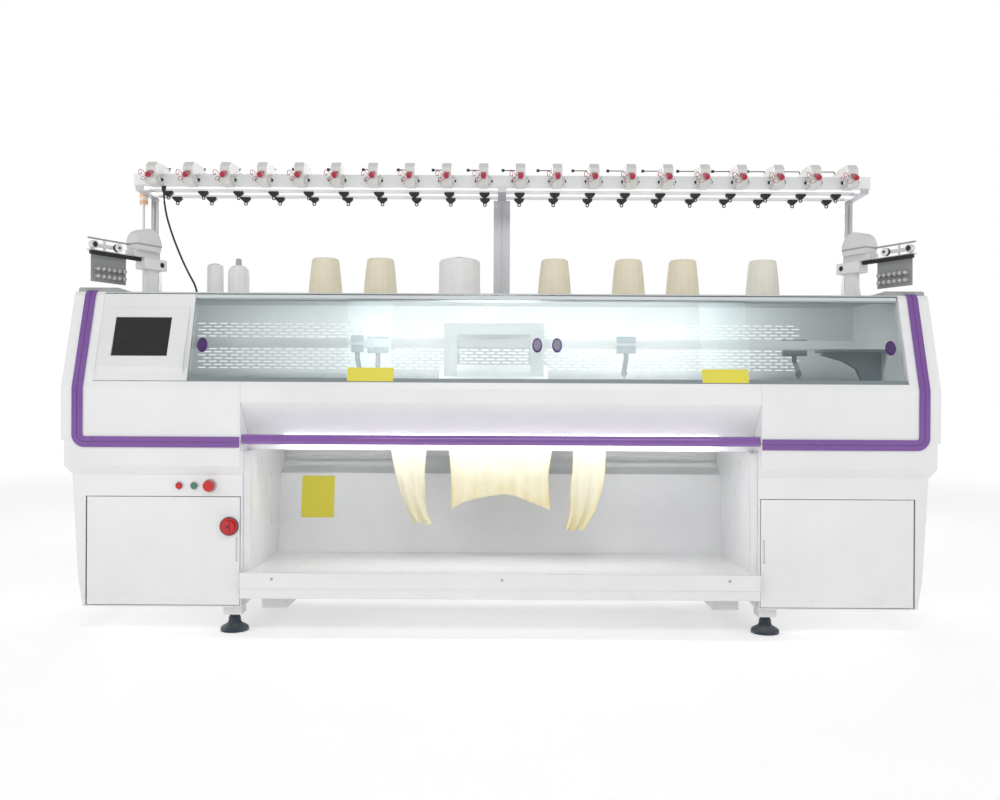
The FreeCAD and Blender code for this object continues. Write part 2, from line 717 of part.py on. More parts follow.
def creel_posts():
    posts = []
    for x, half_w in ((-post_x, 20), (0, 40), (post_x, 20)):
        low = body_top + 20 if x else body_top
        post = box(x - half_w, x + half_w, post_y - 20, post_y + 20, low, arm_z)
        for side in (-1, 1):
            slot = box(x - 5, x + 5, post_y + side * 20 - 6, post_y + side * 20 + 6, low + 10, arm_z - 10)
            post = post.cut(slot)
        foot = box(x - half_w - 8, x + half_w + 8, post_y - 34, post_y + 19, low, low + 8)
        arm = box(x - 20, x + 20, front_rail_y - 12, rod_y[1] + 16, arm_z - 2, rod_z - rod_r)
        posts.append(join([post, foot, arm]))
    return Part.makeCompound(posts)


def creel_rails():
    low = rod_z - rod_r
    flat = box(-creel_half, creel_half, front_rail_y - 4, front_rail_y + 4, low, rail_top)
    rods = [rod_x(-creel_half, creel_half, y, rod_z, rod_r) for y in rod_y]
    return Part.makeCompound([flat] + rods)


def unit_x(index):
    return (index - (unit_count - 1) / 2) * unit_pitch


def tension_unit():
    """One yarn tension unit, hung over the front rail at x = 0."""
    low = rail_top - 66
    body = side_prism([(338, low), (326, low + 24), (326, rail_top + 12), (352, rail_top + 38),
                       (470, rail_top + 46), (520, rail_top + 26), (520, rail_top), (414, rail_top),
                       (414, low)], -22, 22)
    body = body.makeFillet(5, [e for e in body.Edges if e.BoundBox.ZMin > rail_top + 20
                               and e.BoundBox.XLength < 1])
    nose = box(-6, 6, 296, 332, rail_top - 42, rail_top - 30)
    knob = rod_y_axis(0, 284, 300, rail_top - 36, 11)
    discs = [rod_x(22, 34, 372, rail_top - 40, 17), rod_x(-34, -22, 372, rail_top - 40, 17)]
    ear = box(-22, 22, 516, feeler_axis[0] - 8, rail_top, rail_top + 14)
    pin = rod_x(-20, 20, feeler_axis[0], feeler_axis[1], 3)
    cheeks = [box(x, x + 3, 516, feeler_axis[0] + 6, rail_top + 8, rail_top + 29) for x in (-22, 19)]
    clip = [box(-14, 14, front_rail_y + side - 4, front_rail_y + side + 4, rail_top - 35, rail_top + 2)
            for side in (-8.2, 8.2)]
    return join([body, nose, knob, ear, pin] + discs + cheeks + clip)


def tension_units():
    unit = tension_unit()
    return Part.makeCompound([unit.translated(Vec(unit_x(i), 0, 0)) for i in range(unit_count)])


def feeler_arm():
    """One yarn feeler at x = 0: a bush on the unit's pin, a wire up and back, and a side tip."""
    y, z = feeler_axis
    bush = rod_x(-8, 8, y, z, 7)
    bore = rod_x(-10, 10, y, z, 3 + run_fit)
    reach, rise = 46, 40
    wire = Part.makeCylinder(2.6, hypot(reach, rise) + 3, Vec(0, y, z), Vec(0, reach, rise))
    tip = rod_x(-75, 0, y + reach, z + rise, 2.2)
    end = rod_x(-88, -74, y + reach, z + rise, 7)
    return join([bush, wire, tip, end]).cut(bore)


def feeler_arms():
    arm = feeler_arm()
    return Part.makeCompound([arm.translated(Vec(unit_x(i), 0, 0)) for i in range(unit_count)])


def yarn_eyelets():
    """Black holders clipped under the two rear rods, each with a small ring."""
    holders = []
    for y in rod_y:
        wedge = front_prism([(-24, rod_z - 2), (24, rod_z - 2), (24, rod_z - 12), (8, rod_z - 27),
                             (-8, rod_z - 27), (-24, rod_z - 12)], y - 9, y + 9)
        wedge = wedge.cut(rod_x(-30, 30, y, rod_z, rod_r))
        ring = Part.makeTorus(7, 2.5, Vec(0, y, rod_z - 34), Vec(0, 1, 0))
        holder = join([wedge, ring])
        for i in range(unit_count):
            holders.append(holder.translated(Vec(unit_x(i), 0, 0)))
    return Part.makeCompound(holders)


def signal_lamp():
    """A clear lens with its cap, on a thin pole at the left end of the creel."""
    x, y = -1750, 590
    pole = rod_z_axis(x, y, body_top + 20, 1958, 6)
    lens = rod_z_axis(x, y, 1956, 2010, 20)
    cap = rod_z_axis(x, y, 2010, 2038, 21)
    return Part.makeCompound([join([pole, lens]), cap])


# ---- side yarn feeders ----

feeder_x = 1620
feeder_y = 336
feeder_turn = 60
roller_u = 180                      # the turning feed roller's place out along the feeder


def place_feeder(shape, side):
    """Turns a feeder drawn along +x onto the right end, or its mirror image onto the left."""
    shape = shape.copy()
    shape.rotate(Vec(0, 0, 0), Vec(0, 0, 1), -feeder_turn)
    shape.translate(Vec(feeder_x, feeder_y, 0))
    return shape if side > 0 else mirror_x(shape)


def both_sides(shape):
    return Part.makeCompound([place_feeder(shape, 1), place_feeder(shape, -1)])


def feeder_stands():
    stand = front_prism([(-40, body_top), (40, body_top), (26, 1540), (26, 1602), (-30, 1602),
                         (-30, 1540)], -16, 16)
    head = box(-66, 60, -30, 30, 1600, 1650)
    hole = rod_y_axis(-40, -40, 40, 1626, 12)
    return both_sides(join([stand, head]).cut(hole))


def feeder_drives():
    """Channel, domed motor cover, comb bar, roller link and disc plate of each side feeder."""
    channel = box(-30, 118, -28, 28, 1650, 1680)
    drum = rod_y_axis(-4, -20, 58, 1716, 34)
    dome = rod_y_axis(44, -46, 30, 1712, 68).cut(box(-60, 160, -60, 60, 1600, 1678))
    arm = box(100, 318, 6, 26, 1650, 1656)
    comb = box(90, 318, 14, 20, 1702, 1709)
    link = box(roller_u, 300, 8, 14, 1668, 1684)
    link_post = box(236, 244, 8, 14, 1650, 1703)
    idler = rod_y_axis(300, -8, 14, 1676, 18)
    pin = rod_y_axis(roller_u, -14, 14, 1676, 5)
    plate = box(128, 306, 10, 14, 1517, 1652)
    pieces = [channel, drum, dome, arm, comb, link, link_post, idler, pin, plate]
    for row in range(2):
        for column in range(6):
            pieces.append(rod_y_axis(150 + column * 27, -14, 11, 1541 + row * 32, 9))
    return both_sides(join(pieces))


def feed_roller(side):
    roller = rod_y_axis(roller_u, -10, 7, 1676, 18)
    bore = rod_y_axis(roller_u, -20, 20, 1676, 5 + run_fit)
    return place_feeder(roller.cut(bore), side)


# ---- signal cable ----

def cord_tube():
    """Straight runs joined by arcs, each as large as its two runs allow."""
    points = [Vec(*p) for p in cord_route]
    edges = []
    length = 0
    start = points[0]
    for before, corner, after in zip(points, points[1:], points[2:]):
        back = (before - corner).normalize()
        ahead = (after - corner).normalize()
        half_turn = (pi - back.getAngle(ahead)) / 2
        reach = 0.45 * min((corner - before).Length, (after - corner).Length)
        radius = reach / tan(half_turn)
        first, last = corner + back * reach, corner + ahead * reach
        inward = (back + ahead).normalize()
        middle = corner + inward * (hypot(radius, reach) - radius)
        edges += [Part.LineSegment(start, first).toShape(), Part.Arc(first, middle, last).toShape()]
        length += (first - start).Length + radius * 2 * half_turn
        print("cord radius", round(radius, 1))
        start = last
    edges.append(Part.LineSegment(start, points[-1]).toShape())
    length += (points[-1] - start).Length
    path = Part.Wire(edges)
    along = (points[1] - points[0]).normalize()
    section = Part.Wire(Part.makeCircle(cord_r, points[0], along))
    tube = path.makePipeShell([section], True, False)
    print("cord length", round(length, 1), "volume ratio", round(tube.Volume / (length * pi * cord_r ** 2), 4))
    return tube


def cable_glands():
    """Top clip under the front rail and the gland on the machine's top."""
    x, y, z = cord_route[-1]
    gland = Part.makeCone(15, 9, z - body_top, Vec(x, y, body_top), Vec(0, 0, 1))
    x, y, z = cord_route[0]
    clip = Part.makeCone(8, 12, rod_z - rod_r - z, Vec(x, y, z), Vec(0, 0, 1))
    return Part.makeCompound([gland, clip])


def build():
    for piece in (base_frame, levelling_feet, bed_support, needle_beds, guide_rails, carriage_covers,
                  carriage_arch, cam_plates, drive_belt, drive_motor, yarn_rails, rail_brackets,
                  side_trims, end_caps, centre_fascia, screen_housing, screen_glass, rear_hood,
                  rear_cover, cabinet_left, cabinet_right, cabinet_door_left, cabinet_door_right,
                  main_switch, start_bar, window_tracks, bay_tray, bay_liner, knitted_fabric,
                  cone_shelf, yarn_cones, creel_posts, creel_rails, tension_units,
                  feeler_arms, yarn_eyelets, signal_lamp, feeder_stands, feeder_drives, cable_glands):
        parts[piece.__name__] = piece()
    parts["upper_casing_right"] = upper_casing()
    parts["upper_casing_left"] = mirror_x(upper_casing())
    parts["drive_pulley"] = pulley(-pulley_x)
    parts["idler_pulley"] = pulley(pulley_x)
    parts["take_down_roller_front"] = take_down_roller(gap_y - roller_offset)
    parts["take_down_roller_rear"] = take_down_roller(gap_y + roller_offset)
    parts["feed_roller_right"] = feed_roller(1)
    parts["feed_roller_left"] = feed_roller(-1)
    parts["signal_cable"] = cord_tube()
    for name in button_x:
        parts[name] = push_button(name)
    for number in carriers:
        parts["yarn_carrier_%d" % number] = yarn_carrier(number)
    for number in door_left_x:
        parts["window_door_%d" % number] = window_door(number)


def export():
    os.makedirs("parts", exist_ok=True)
    centre_y = (body_depth - front_reach) / 2
    for name, shape in parts.items():
        shape = shape.translated(Vec(0, -centre_y, 0))
        shape.exportStep("parts/%s.step" % name)


build()
export()
print(len(parts), "nodes")
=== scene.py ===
# Flat knitting machine: finishes, knitted strips, yarn, small trim, lights and camera
import bpy
import bmesh
import math
from mathutils import Matrix, Vector


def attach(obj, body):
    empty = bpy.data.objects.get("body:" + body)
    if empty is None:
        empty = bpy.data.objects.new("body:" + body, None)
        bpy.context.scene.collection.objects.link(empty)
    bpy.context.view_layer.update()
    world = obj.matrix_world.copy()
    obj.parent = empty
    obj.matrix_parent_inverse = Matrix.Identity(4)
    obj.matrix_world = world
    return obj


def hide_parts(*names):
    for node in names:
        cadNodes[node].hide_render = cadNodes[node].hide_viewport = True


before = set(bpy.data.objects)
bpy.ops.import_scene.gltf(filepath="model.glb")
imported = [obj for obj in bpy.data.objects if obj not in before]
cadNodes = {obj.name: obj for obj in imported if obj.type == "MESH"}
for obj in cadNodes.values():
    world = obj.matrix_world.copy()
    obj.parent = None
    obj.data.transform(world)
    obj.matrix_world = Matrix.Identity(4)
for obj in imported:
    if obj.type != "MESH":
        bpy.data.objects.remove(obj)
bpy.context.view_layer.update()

print("frame loaded,", len(cadNodes), "nodes")


# places on the machine: across, back from the front face and up, all in mm
def place(across, back, up):
    return Vector((across / 1000, (back - 437.5) / 1000, up / 1000))


leaningFront = {"kink": 1054, "angle": math.atan2(130, 413)}


def leanPlace(across, along, behind=0):  # on the leaning front, along its slope and behind it
    angle = leaningFront["angle"]
    return place(across, along * math.sin(angle) + behind * math.cos(angle),
                 leaningFront["kink"] + along * math.cos(angle) - behind * math.sin(angle))


# camera first
cameraSeat = {"place": (0.0, -4.4375, 1.0), "lens": 33.8, "roll": -0.005, "shift": (-0.001, 0.002)}
camera = bpy.data.cameras.new("camera")
camera.lens = cameraSeat["lens"]
camera.sensor_width = 36
camera.shift_x, camera.shift_y = cameraSeat["shift"]
cameraObject = bpy.data.objects.new("camera", camera)
cameraObject.location = cameraSeat["place"]
cameraObject.rotation_euler = (math.pi / 2, cameraSeat["roll"], 0)
bpy.context.scene.collection.objects.link(cameraObject)
bpy.context.scene.camera = cameraObject
print("camera set")


# node helpers
def addNode(tree, kind, inputs=None, **settings):
    made = tree.nodes.new("ShaderNode" + kind)
    for key, value in settings.items():
        setattr(made, key, value)
    for key, value in (inputs or {}).items():
        if isinstance(value, bpy.types.NodeSocket):
            tree.links.new(value, made.inputs[key])
        else:
            made.inputs[key].default_value = value
    return made


def calc(tree, operation, first, second=0.0, third=None):
    values = {0: first, 1: second} if third is None else {0: first, 1: second, 2: third}
    return addNode(tree, "Math", values, operation=operation).outputs[0]


def spread(tree, value, fromLow, fromHigh, toLow, toHigh):
    made = addNode(tree, "MapRange", {"Value": value, "From Min": fromLow, "From Max": fromHigh,
                                      "To Min": toLow, "To Max": toHigh})
    return made.outputs["Result"]


def blendColour(tree, mask, first, second):
    made = addNode(tree, "Mix", {0: mask}, data_type="RGBA")
    for index, value in ((6, first), (7, second)):
        if isinstance(value, bpy.types.NodeSocket):
            tree.links.new(value, made.inputs[index])
        else:
            made.inputs[index].default_value = value if len(value) == 4 else (*value, 1)
    return made.outputs[2]


def newGroup(name, inputs, outputs):
    tree = bpy.data.node_groups.new(name, "ShaderNodeTree")
    for label, kind, value in inputs:
        socket = tree.interface.new_socket(name=label, in_out="INPUT", socket_type="NodeSocket" + kind)
        if value is not None:
            socket.default_value = value
    for label, kind in outputs:
        tree.interface.new_socket(name=label, in_out="OUTPUT", socket_type="NodeSocket" + kind)
    return tree, tree.nodes.new("NodeGroupInput").outputs, tree.nodes.new("NodeGroupOutput").inputs


def useGroup(tree, name, inputs=None):
    return addNode(tree, "Group", inputs, node_tree=bpy.data.node_groups[name]).outputs


# fine peel and broad tone of a coated surface
tree, given, out = newGroup("coatSkin", [("Vector", "Vector", None), ("Peel", "Float", 700.0),
                                         ("Broad", "Float", 2.5)], [("Height", "Float"), ("Tone", "Float")])
fine = addNode(tree, "TexNoise", {"Vector": given["Vector"], "Scale": given["Peel"], "Detail": 2.0})
broad = addNode(tree, "TexNoise", {"Vector": given["Vector"], "Scale": given["Broad"], "Detail": 5.0,
                                   "Roughness": 0.6})
tree.links.new(fine.outputs[0], out["Height"])
tree.links.new(spread(tree, broad.outputs[0], 0.3, 0.7, 0.0, 1.0), out["Tone"])

# rubbed edges, with the softened normal that a folded or moulded edge has
tree, given, out = newGroup("edgeRub", [("Vector", "Vector", None), ("Radius", "Float", 0.0015),
                                        ("Patches", "Float", 30.0)],
                            [("Mask", "Float"), ("Normal", "Vector")])
soft = addNode(tree, "Bevel", {"Radius": given["Radius"]}, samples=3)
flat = addNode(tree, "NewGeometry")
facing = addNode(tree, "VectorMath", {0: soft.outputs[0], 1: flat.outputs["Normal"]}, operation="DOT_PRODUCT")
patches = addNode(tree, "TexNoise", {"Vector": given["Vector"], "Scale": given["Patches"], "Detail": 4.0})
turned = spread(tree, facing.outputs["Value"], 0.995, 0.8, 0.0, 1.0)
tree.links.new(calc(tree, "MULTIPLY", turned, spread(tree, patches.outputs[0], 0.45, 0.65, 0.0, 1.0)),
               out["Mask"])
tree.links.new(soft.outputs[0], out["Normal"])

# lint and dust that settles on faces that look up
tree, given, out = newGroup("settledLint", [("Vector", "Vector", None), ("Patches", "Float", 14.0)],
                            [("Mask", "Float")])
up = addNode(tree, "SeparateXYZ", {0: addNode(tree, "NewGeometry").outputs["Normal"]}).outputs[2]
patches = addNode(tree, "TexNoise", {"Vector": given["Vector"], "Scale": given["Patches"], "Detail": 6.0,
                                     "Roughness": 0.7})
tree.links.new(calc(tree, "MULTIPLY", spread(tree, up, 0.5, 1.0, 0.0, 1.0),
                    spread(tree, patches.outputs[0], 0.35, 0.7, 0.0, 1.0)), out["Mask"])

# scuffs and floor dirt low on the cabinets
tree, given, out = newGroup("lowScuff", [("Vector", "Vector", None), ("Top", "Float", 0.3)],
                            [("Mask", "Float")])
height = addNode(tree, "SeparateXYZ", {0: given["Vector"]}).outputs[2]
squeezed = addNode(tree, "VectorMath", {0: given["Vector"], 1: (4, 4, 11)}, operation="MULTIPLY")
streaks = addNode(tree, "TexNoise", {"Vector": squeezed.outputs[0], "Scale": 3.0, "Detail": 7.0,
                                     "Roughness": 0.75})
fade = addNode(tree, "MapRange", {"Value": height, "From Min": 0.0, "From Max": given["Top"],
                                  "To Min": 1.0, "To Max": 0.0}).outputs[0]
tree.links.new(calc(tree, "MULTIPLY", fade, spread(tree, streaks.outputs[0], 0.5, 0.72, 0.0, 1.0)),
               out["Mask"])

# lines left by grinding, drawing or rolling
tree, given, out = newGroup("drawnLines", [("Vector", "Vector", None), ("Stretch", "Vector", (1, 60, 60)),
                                           ("Scale", "Float", 14.0)],
                            [("Height", "Float"), ("Streak", "Float")])
pulled = addNode(tree, "VectorMath", {0: given["Vector"], 1: given["Stretch"]}, operation="MULTIPLY")
lines = addNode(tree, "TexNoise", {"Vector": pulled.outputs[0], "Scale": given["Scale"], "Detail": 5.0,
                                   "Roughness": 0.65})
tree.links.new(lines.outputs[0], out["Height"])
tree.links.new(spread(tree, lines.outputs[0], 0.35, 0.65, 0.0, 1.0), out["Streak"])

# yarn laid round a package in two crossing helices; Shade is painted shade in the grooves between the
# strands, times random banding
tree, given, out = newGroup("woundYarn", [("Vector", "Vector", None), ("Turns", "Float", 120.0),
                                          ("Crossing", "Float", 9.0)],
                            [("Height", "Float"), ("Shade", "Float")])
axes = addNode(tree, "SeparateXYZ", {0: given["Vector"]}).outputs
angle = calc(tree, "DIVIDE", calc(tree, "ARCTAN2", axes[1], axes[0]), 2 * math.pi)
climb = calc(tree, "MULTIPLY", axes[2], given["Turns"])
lean = calc(tree, "MULTIPLY", angle, given["Crossing"])
one = calc(tree, "SINE", calc(tree, "MULTIPLY", calc(tree, "ADD", climb, lean), 2 * math.pi))
two = calc(tree, "SINE", calc(tree, "MULTIPLY", calc(tree, "SUBTRACT", climb, lean), 2 * math.pi))
fluff = addNode(tree, "TexNoise", {"Vector": given["Vector"], "Scale": 260.0, "Detail": 4.0})
crossed = calc(tree, "MAXIMUM", one, two)
tree.links.new(calc(tree, "ADD", crossed, fluff.outputs[0]), out["Height"])
bands = addNode(tree, "TexNoise", {"Vector": given["Vector"], "Scale": 18.0, "Detail": 3.0})
tree.links.new(calc(tree, "MULTIPLY", spread(tree, crossed, -0.2, 1.0, 0.55, 1.0),
                    spread(tree, bands.outputs[0], 0.3, 0.7, 0.8, 1.0)), out["Shade"])

# loops of plain knitting, wales side by side and courses up them; Shade is painted shade in the gaps between
# loops and wales, times random unevenness
tree, given, out = newGroup("knitLoops", [("Vector", "Vector", None), ("Wales", "Float", 420.0),
                                          ("Courses", "Float", 560.0)],
                            [("Height", "Float"), ("Shade", "Float")])
axes = addNode(tree, "SeparateXYZ", {0: given["Vector"]}).outputs
across = calc(tree, "FRACT", calc(tree, "MULTIPLY", axes[0], given["Wales"]))
side = calc(tree, "ABSOLUTE", calc(tree, "SUBTRACT", across, 0.5))
course = calc(tree, "ADD", calc(tree, "MULTIPLY", axes[2], given["Courses"]),
              calc(tree, "MULTIPLY", side, 1.3))
wave = calc(tree, "SINE", calc(tree, "MULTIPLY", course, 2 * math.pi))
rib = calc(tree, "SUBTRACT", 1.0, calc(tree, "POWER", calc(tree, "MULTIPLY", side, 2.0), 3.0))
loops = calc(tree, "MULTIPLY", spread(tree, wave, -1.0, 1.0, 0.4, 1.0), rib)
tree.links.new(loops, out["Height"])
uneven = addNode(tree, "TexNoise", {"Vector": given["Vector"], "Scale": 22.0, "Detail": 5.0})
tree.links.new(calc(tree, "MULTIPLY", spread(tree, loops, 0.0, 1.0, 0.72, 1.0),
                    spread(tree, uneven.outputs[0], 0.3, 0.7, 0.86, 1.0)), out["Shade"])
print("shader groups built")


# finishes
def startMaterial(name):
    material = bpy.data.materials.new(name)
    material.use_nodes = True
    tree = material.node_tree
    shader = tree.nodes["Principled BSDF"]
    spot = tree.nodes.new("ShaderNodeTexCoord").outputs["Object"]
    return material, tree, shader, spot


def setShader(shader, **values):
    for key, value in values.items():
        shader.inputs[key.replace("_", " ")].default_value = value


def coatedFinish(name, look):
    material, tree, shader, spot = startMaterial(name)
    skin = useGroup(tree, "coatSkin", {"Vector": spot, "Peel": look.get("peel", 700.0),
                                       "Broad": look.get("broad", 2.5)})
    base = look["colour"]
    shade = look.get("shade", tuple(0.93 * c for c in base))
    colour = blendColour(tree, skin["Tone"], base, shade)
    normal = None
    if look.get("rub") is not None:
        rub = useGroup(tree, "edgeRub", {"Vector": spot, "Radius": look.get("round", 0.0015)})
        colour = blendColour(tree, calc(tree, "MULTIPLY", rub["Mask"], look.get("rubAmount", 0.5)),
                             colour, look["rub"])
        normal = rub["Normal"]
    if look.get("scuffTop"):
        scuff = useGroup(tree, "lowScuff", {"Vector": spot, "Top": look["scuffTop"]})
        colour = blendColour(tree, calc(tree, "MULTIPLY", scuff["Mask"], 0.35), colour, (0.42, 0.41, 0.38))
    lint = useGroup(tree, "settledLint", {"Vector": spot})
    amount = calc(tree, "MULTIPLY", lint["Mask"], look.get("lint", 0.25))
    colour = blendColour(tree, amount, colour, look.get("lintColour", (0.72, 0.7, 0.66)))
    for low, high, other in look.get("zones", []):  # other colours between two heights
        level = addNode(tree, "SeparateXYZ", {0: spot}).outputs[2]
        inside = calc(tree, "MULTIPLY", calc(tree, "GREATER_THAN", level, low),
                      calc(tree, "LESS_THAN", level, high))
        colour = blendColour(tree, inside, colour, other)
    if look.get("frontZone"):
        depth, other = look["frontZone"]
        ahead = calc(tree, "LESS_THAN", addNode(tree, "SeparateXYZ", {0: spot}).outputs[1], depth)
        colour = blendColour(tree, ahead, colour, other)
    tree.links.new(colour, shader.inputs["Base Color"])
    rough = look["rough"]
    roughness = calc(tree, "ADD", spread(tree, skin["Tone"], 0, 1, rough - 0.05, rough + 0.06),
                     calc(tree, "MULTIPLY", amount, 0.5))
    tree.links.new(roughness, shader.inputs["Roughness"])
    bump = addNode(tree, "Bump", {"Height": skin["Height"], "Strength": look.get("bump", 0.12),
                                  "Distance": look.get("depth", 0.0004)})
    if normal is not None:
        tree.links.new(normal, bump.inputs["Normal"])
    tree.links.new(bump.outputs[0], shader.inputs["Normal"])
    setShader(shader, Metallic=0.0, IOR=1.47, Specular_IOR_Level=look.get("shine", 0.5))
    if look.get("coat"):
        setShader(shader, Coat_Weight=look["coat"], Coat_Roughness=0.08)
    if look.get("glow"):
        setShader(shader, Emission_Color=(*look["glow"][0], 1), Emission_Strength=look["glow"][1])
    return material


def metalFinish(name, look):
    material, tree, shader, spot = startMaterial(name)
    lines = useGroup(tree, "drawnLines", {"Vector": spot, "Stretch": look["stretch"],
                                          "Scale": look.get("scale", 14.0)})
    skin = useGroup(tree, "coatSkin", {"Vector": spot, "Peel": 300.0, "Broad": 5.0})
    base = look["colour"]
    colour = blendColour(tree, lines["Streak"], base, tuple(0.84 * c for c in base))
    colour = blendColour(tree, calc(tree, "MULTIPLY", skin["Tone"], 0.25), colour,
                         tuple(0.7 * c for c in base))
    tree.links.new(colour, shader.inputs["Base Color"])
    rough = look["rough"]
    tree.links.new(calc(tree, "ADD", spread(tree, lines["Streak"], 0, 1, rough - 0.07, rough + 0.07),
                        calc(tree, "MULTIPLY", skin["Tone"], 0.08)), shader.inputs["Roughness"])
    bump = addNode(tree, "Bump", {"Height": lines["Height"], "Strength": look.get("bump", 0.15),
                                  "Distance": 0.0003})
    tree.links.new(bump.outputs[0], shader.inputs["Normal"])
    setShader(shader, Metallic=look.get("metal", 1.0))
    return material


def yarnFinish(name, look):
    material, tree, shader, spot = startMaterial(name)
    wound = useGroup(tree, "woundYarn", {"Vector": spot, "Turns": look["turns"],
                                         "Crossing": look["crossing"]})
    base = look["colour"]
    # painted shade: the yarn colour darkens to 0.83 of the base in the grooves between the strands
    tree.links.new(blendColour(tree, wound["Shade"], tuple(0.83 * c for c in base), base),
                   shader.inputs["Base Color"])
    bump = addNode(tree, "Bump", {"Height": wound["Height"], "Strength": 0.55, "Distance": 0.0012})
    tree.links.new(bump.outputs[0], shader.inputs["Normal"])
    tree.links.new(spread(tree, wound["Shade"], 0.4, 1.0, 0.95, 0.8), shader.inputs["Roughness"])
    setShader(shader, Sheen_Weight=0.35, Sheen_Roughness=0.4)
    return material


def knitFinish(name, look):
    material, tree, shader, spot = startMaterial(name)
    loops = useGroup(tree, "knitLoops", {"Vector": spot})
    # the strip mask: ochre waste yarn at the edges and foot, plus painted shade along one side of each fold
    wasteYarnAndFoldShade = addNode(tree, "Attribute", attribute_name="ochreAndFoldShade").outputs["Fac"]
    patchy = addNode(tree, "TexNoise", {"Vector": spot, "Scale": 16.0, "Detail": 6.0, "Roughness": 0.65})
    tint = calc(tree, "MULTIPLY", wasteYarnAndFoldShade, spread(tree, patchy.outputs[0], 0.25, 0.6, 0.55, 1.15))
    colour = blendColour(tree, tint, look["colour"], look["edge"])
    # painted shade: darker ochre in the gaps between loops and wales
    shaded = blendColour(tree, loops["Shade"], tuple(0.72 * c for c in look["edge"]), colour)
    tree.links.new(shaded, shader.inputs["Base Color"])
    bump = addNode(tree, "Bump", {"Height": loops["Height"], "Strength": 0.5, "Distance": 0.0008})
    tree.links.new(bump.outputs[0], shader.inputs["Normal"])
    tree.links.new(spread(tree, patchy.outputs[0], 0.3, 0.7, 0.8, 0.95), shader.inputs["Roughness"])
    setShader(shader, Sheen_Weight=0.25, Sheen_Roughness=0.5)
    return material


def paneFinish(name, look):
    material, tree, shader, spot = startMaterial(name)
    smear = addNode(tree, "TexNoise", {"Vector": spot, "Scale": 3.5, "Detail": 6.0, "Roughness": 0.7})
    tree.links.new(spread(tree, smear.outputs[0], 0.35, 0.7, 0.21, 0.27), shader.inputs["Roughness"])
    ripple = addNode(tree, "TexNoise", {"Vector": spot, "Scale": 1.6, "Detail": 1.0})
    bump = addNode(tree, "Bump", {"Height": ripple.outputs[0], "Strength": 0.05, "Distance": 0.002})
    tree.links.new(bump.outputs[0], shader.inputs["Normal"])
    setShader(shader, Base_Color=(*look["film"], 1), Metallic=1.0)
    clear = addNode(tree, "BsdfTransparent", {"Color": (*look["tint"], 1)})
    edge = addNode(tree, "Fresnel", {"IOR": 1.5})
    share = spread(tree, edge.outputs[0], 0.0, 1.0, look["haze"], 1.0)
    mix = addNode(tree, "MixShader", {0: share, 1: clear.outputs[0], 2: shader.outputs[0]})
    tree.links.new(mix.outputs[0], tree.nodes["Material Output"].inputs["Surface"])
    return material


whiteCoat = coatedFinish("whiteCoat", {"colour": (0.87, 0.875, 0.88), "rough": 0.36, "rub": (0.7, 0.7, 0.69),
                                       "rubAmount": 0.3, "round": 0.002, "scuffTop": 0.26, "coat": 0.15})
frameCoat = coatedFinish("frameCoat", {"colour": (0.78, 0.785, 0.79), "rough": 0.42, "scuffTop": 0.4,
                                       "rub": (0.55, 0.55, 0.55), "peel": 500.0})
innerCoat = coatedFinish("innerCoat", {"colour": (0.72, 0.75, 0.76), "rough": 0.42, "rub": (0.8, 0.8, 0.8),
                                       "rubAmount": 0.3})
trackCoat = coatedFinish("trackCoat", {"colour": (0.66, 0.7, 0.71), "rough": 0.35, "rub": (0.8, 0.81, 0.81),
                                       "rubAmount": 0.4, "zones": [(1.05, 1.2, (0.22, 0.26, 0.28))]})
capCoat = coatedFinish("capCoat", {"colour": (0.42, 0.43, 0.43), "rough": 0.4, "rub": (0.65, 0.65, 0.65),
                                   "lint": 0.4})
slateCoat = coatedFinish("slateCoat", {"colour": (0.12, 0.16, 0.19), "rough": 0.4, "rub": (0.5, 0.52, 0.54),
                                       "rubAmount": 0.7, "lint": 0.35})
trimGloss = coatedFinish("trimGloss", {"colour": (0.215, 0.085, 0.35), "shade": (0.185, 0.07, 0.32),
                                       "rough": 0.24, "rub": (0.4, 0.26, 0.55), "rubAmount": 0.4,
                                       "coat": 0.5, "peel": 350.0, "bump": 0.05, "lint": 0.1})
pullGloss = coatedFinish("pullGloss", {"colour": (0.11, 0.035, 0.22), "rough": 0.5, "peel": 600.0,
                                       "lint": 0.04, "shine": 0.12})
barGloss = coatedFinish("barGloss", {"colour": (0.25, 0.1, 0.4), "shade": (0.21, 0.085, 0.36),
                                     "rough": 0.2, "coat": 0.7, "peel": 300.0, "bump": 0.05, "lint": 0.12})
shellWhite = coatedFinish("shellWhite", {"colour": (0.83, 0.835, 0.835), "rough": 0.42, "peel": 1400.0,
                                         "rub": (0.6, 0.6, 0.6), "rubAmount": 0.25, "bump": 0.2,
                                         "round": 0.0012})
panelWhite = coatedFinish("panelWhite", {"colour": (0.82, 0.825, 0.83), "rough": 0.4, "peel": 1400.0,
                                         "bump": 0.18, "rub": (0.7, 0.7, 0.7), "rubAmount": 0.2})
unitShell = coatedFinish("unitShell", {"colour": (0.7, 0.7, 0.68), "rough": 0.42, "peel": 1500.0,
                                       "rub": (0.5, 0.5, 0.48), "rubAmount": 0.3,
                                       "frontZone": (-0.1372, (0.42, 0.01, 0.04)), "round": 0.0015})
driveShell = coatedFinish("driveShell", {"colour": (0.74, 0.745, 0.74), "rough": 0.4, "peel": 1500.0,
                                         "rub": (0.5, 0.5, 0.5), "rubAmount": 0.3, "round": 0.003,
                                         "zones": [(1.516, 1.649, (0.3, 0.31, 0.31)),
                                                   (1.701, 1.7095, (0.36, 0.38, 0.38))]})
blackMould = coatedFinish("blackMould", {"colour": (0.018, 0.018, 0.02), "rough": 0.45, "peel": 1600.0,
                                         "rub": (0.16, 0.16, 0.17), "rubAmount": 0.6, "bump": 0.25,
                                         "lint": 0.3, "round": 0.0006})
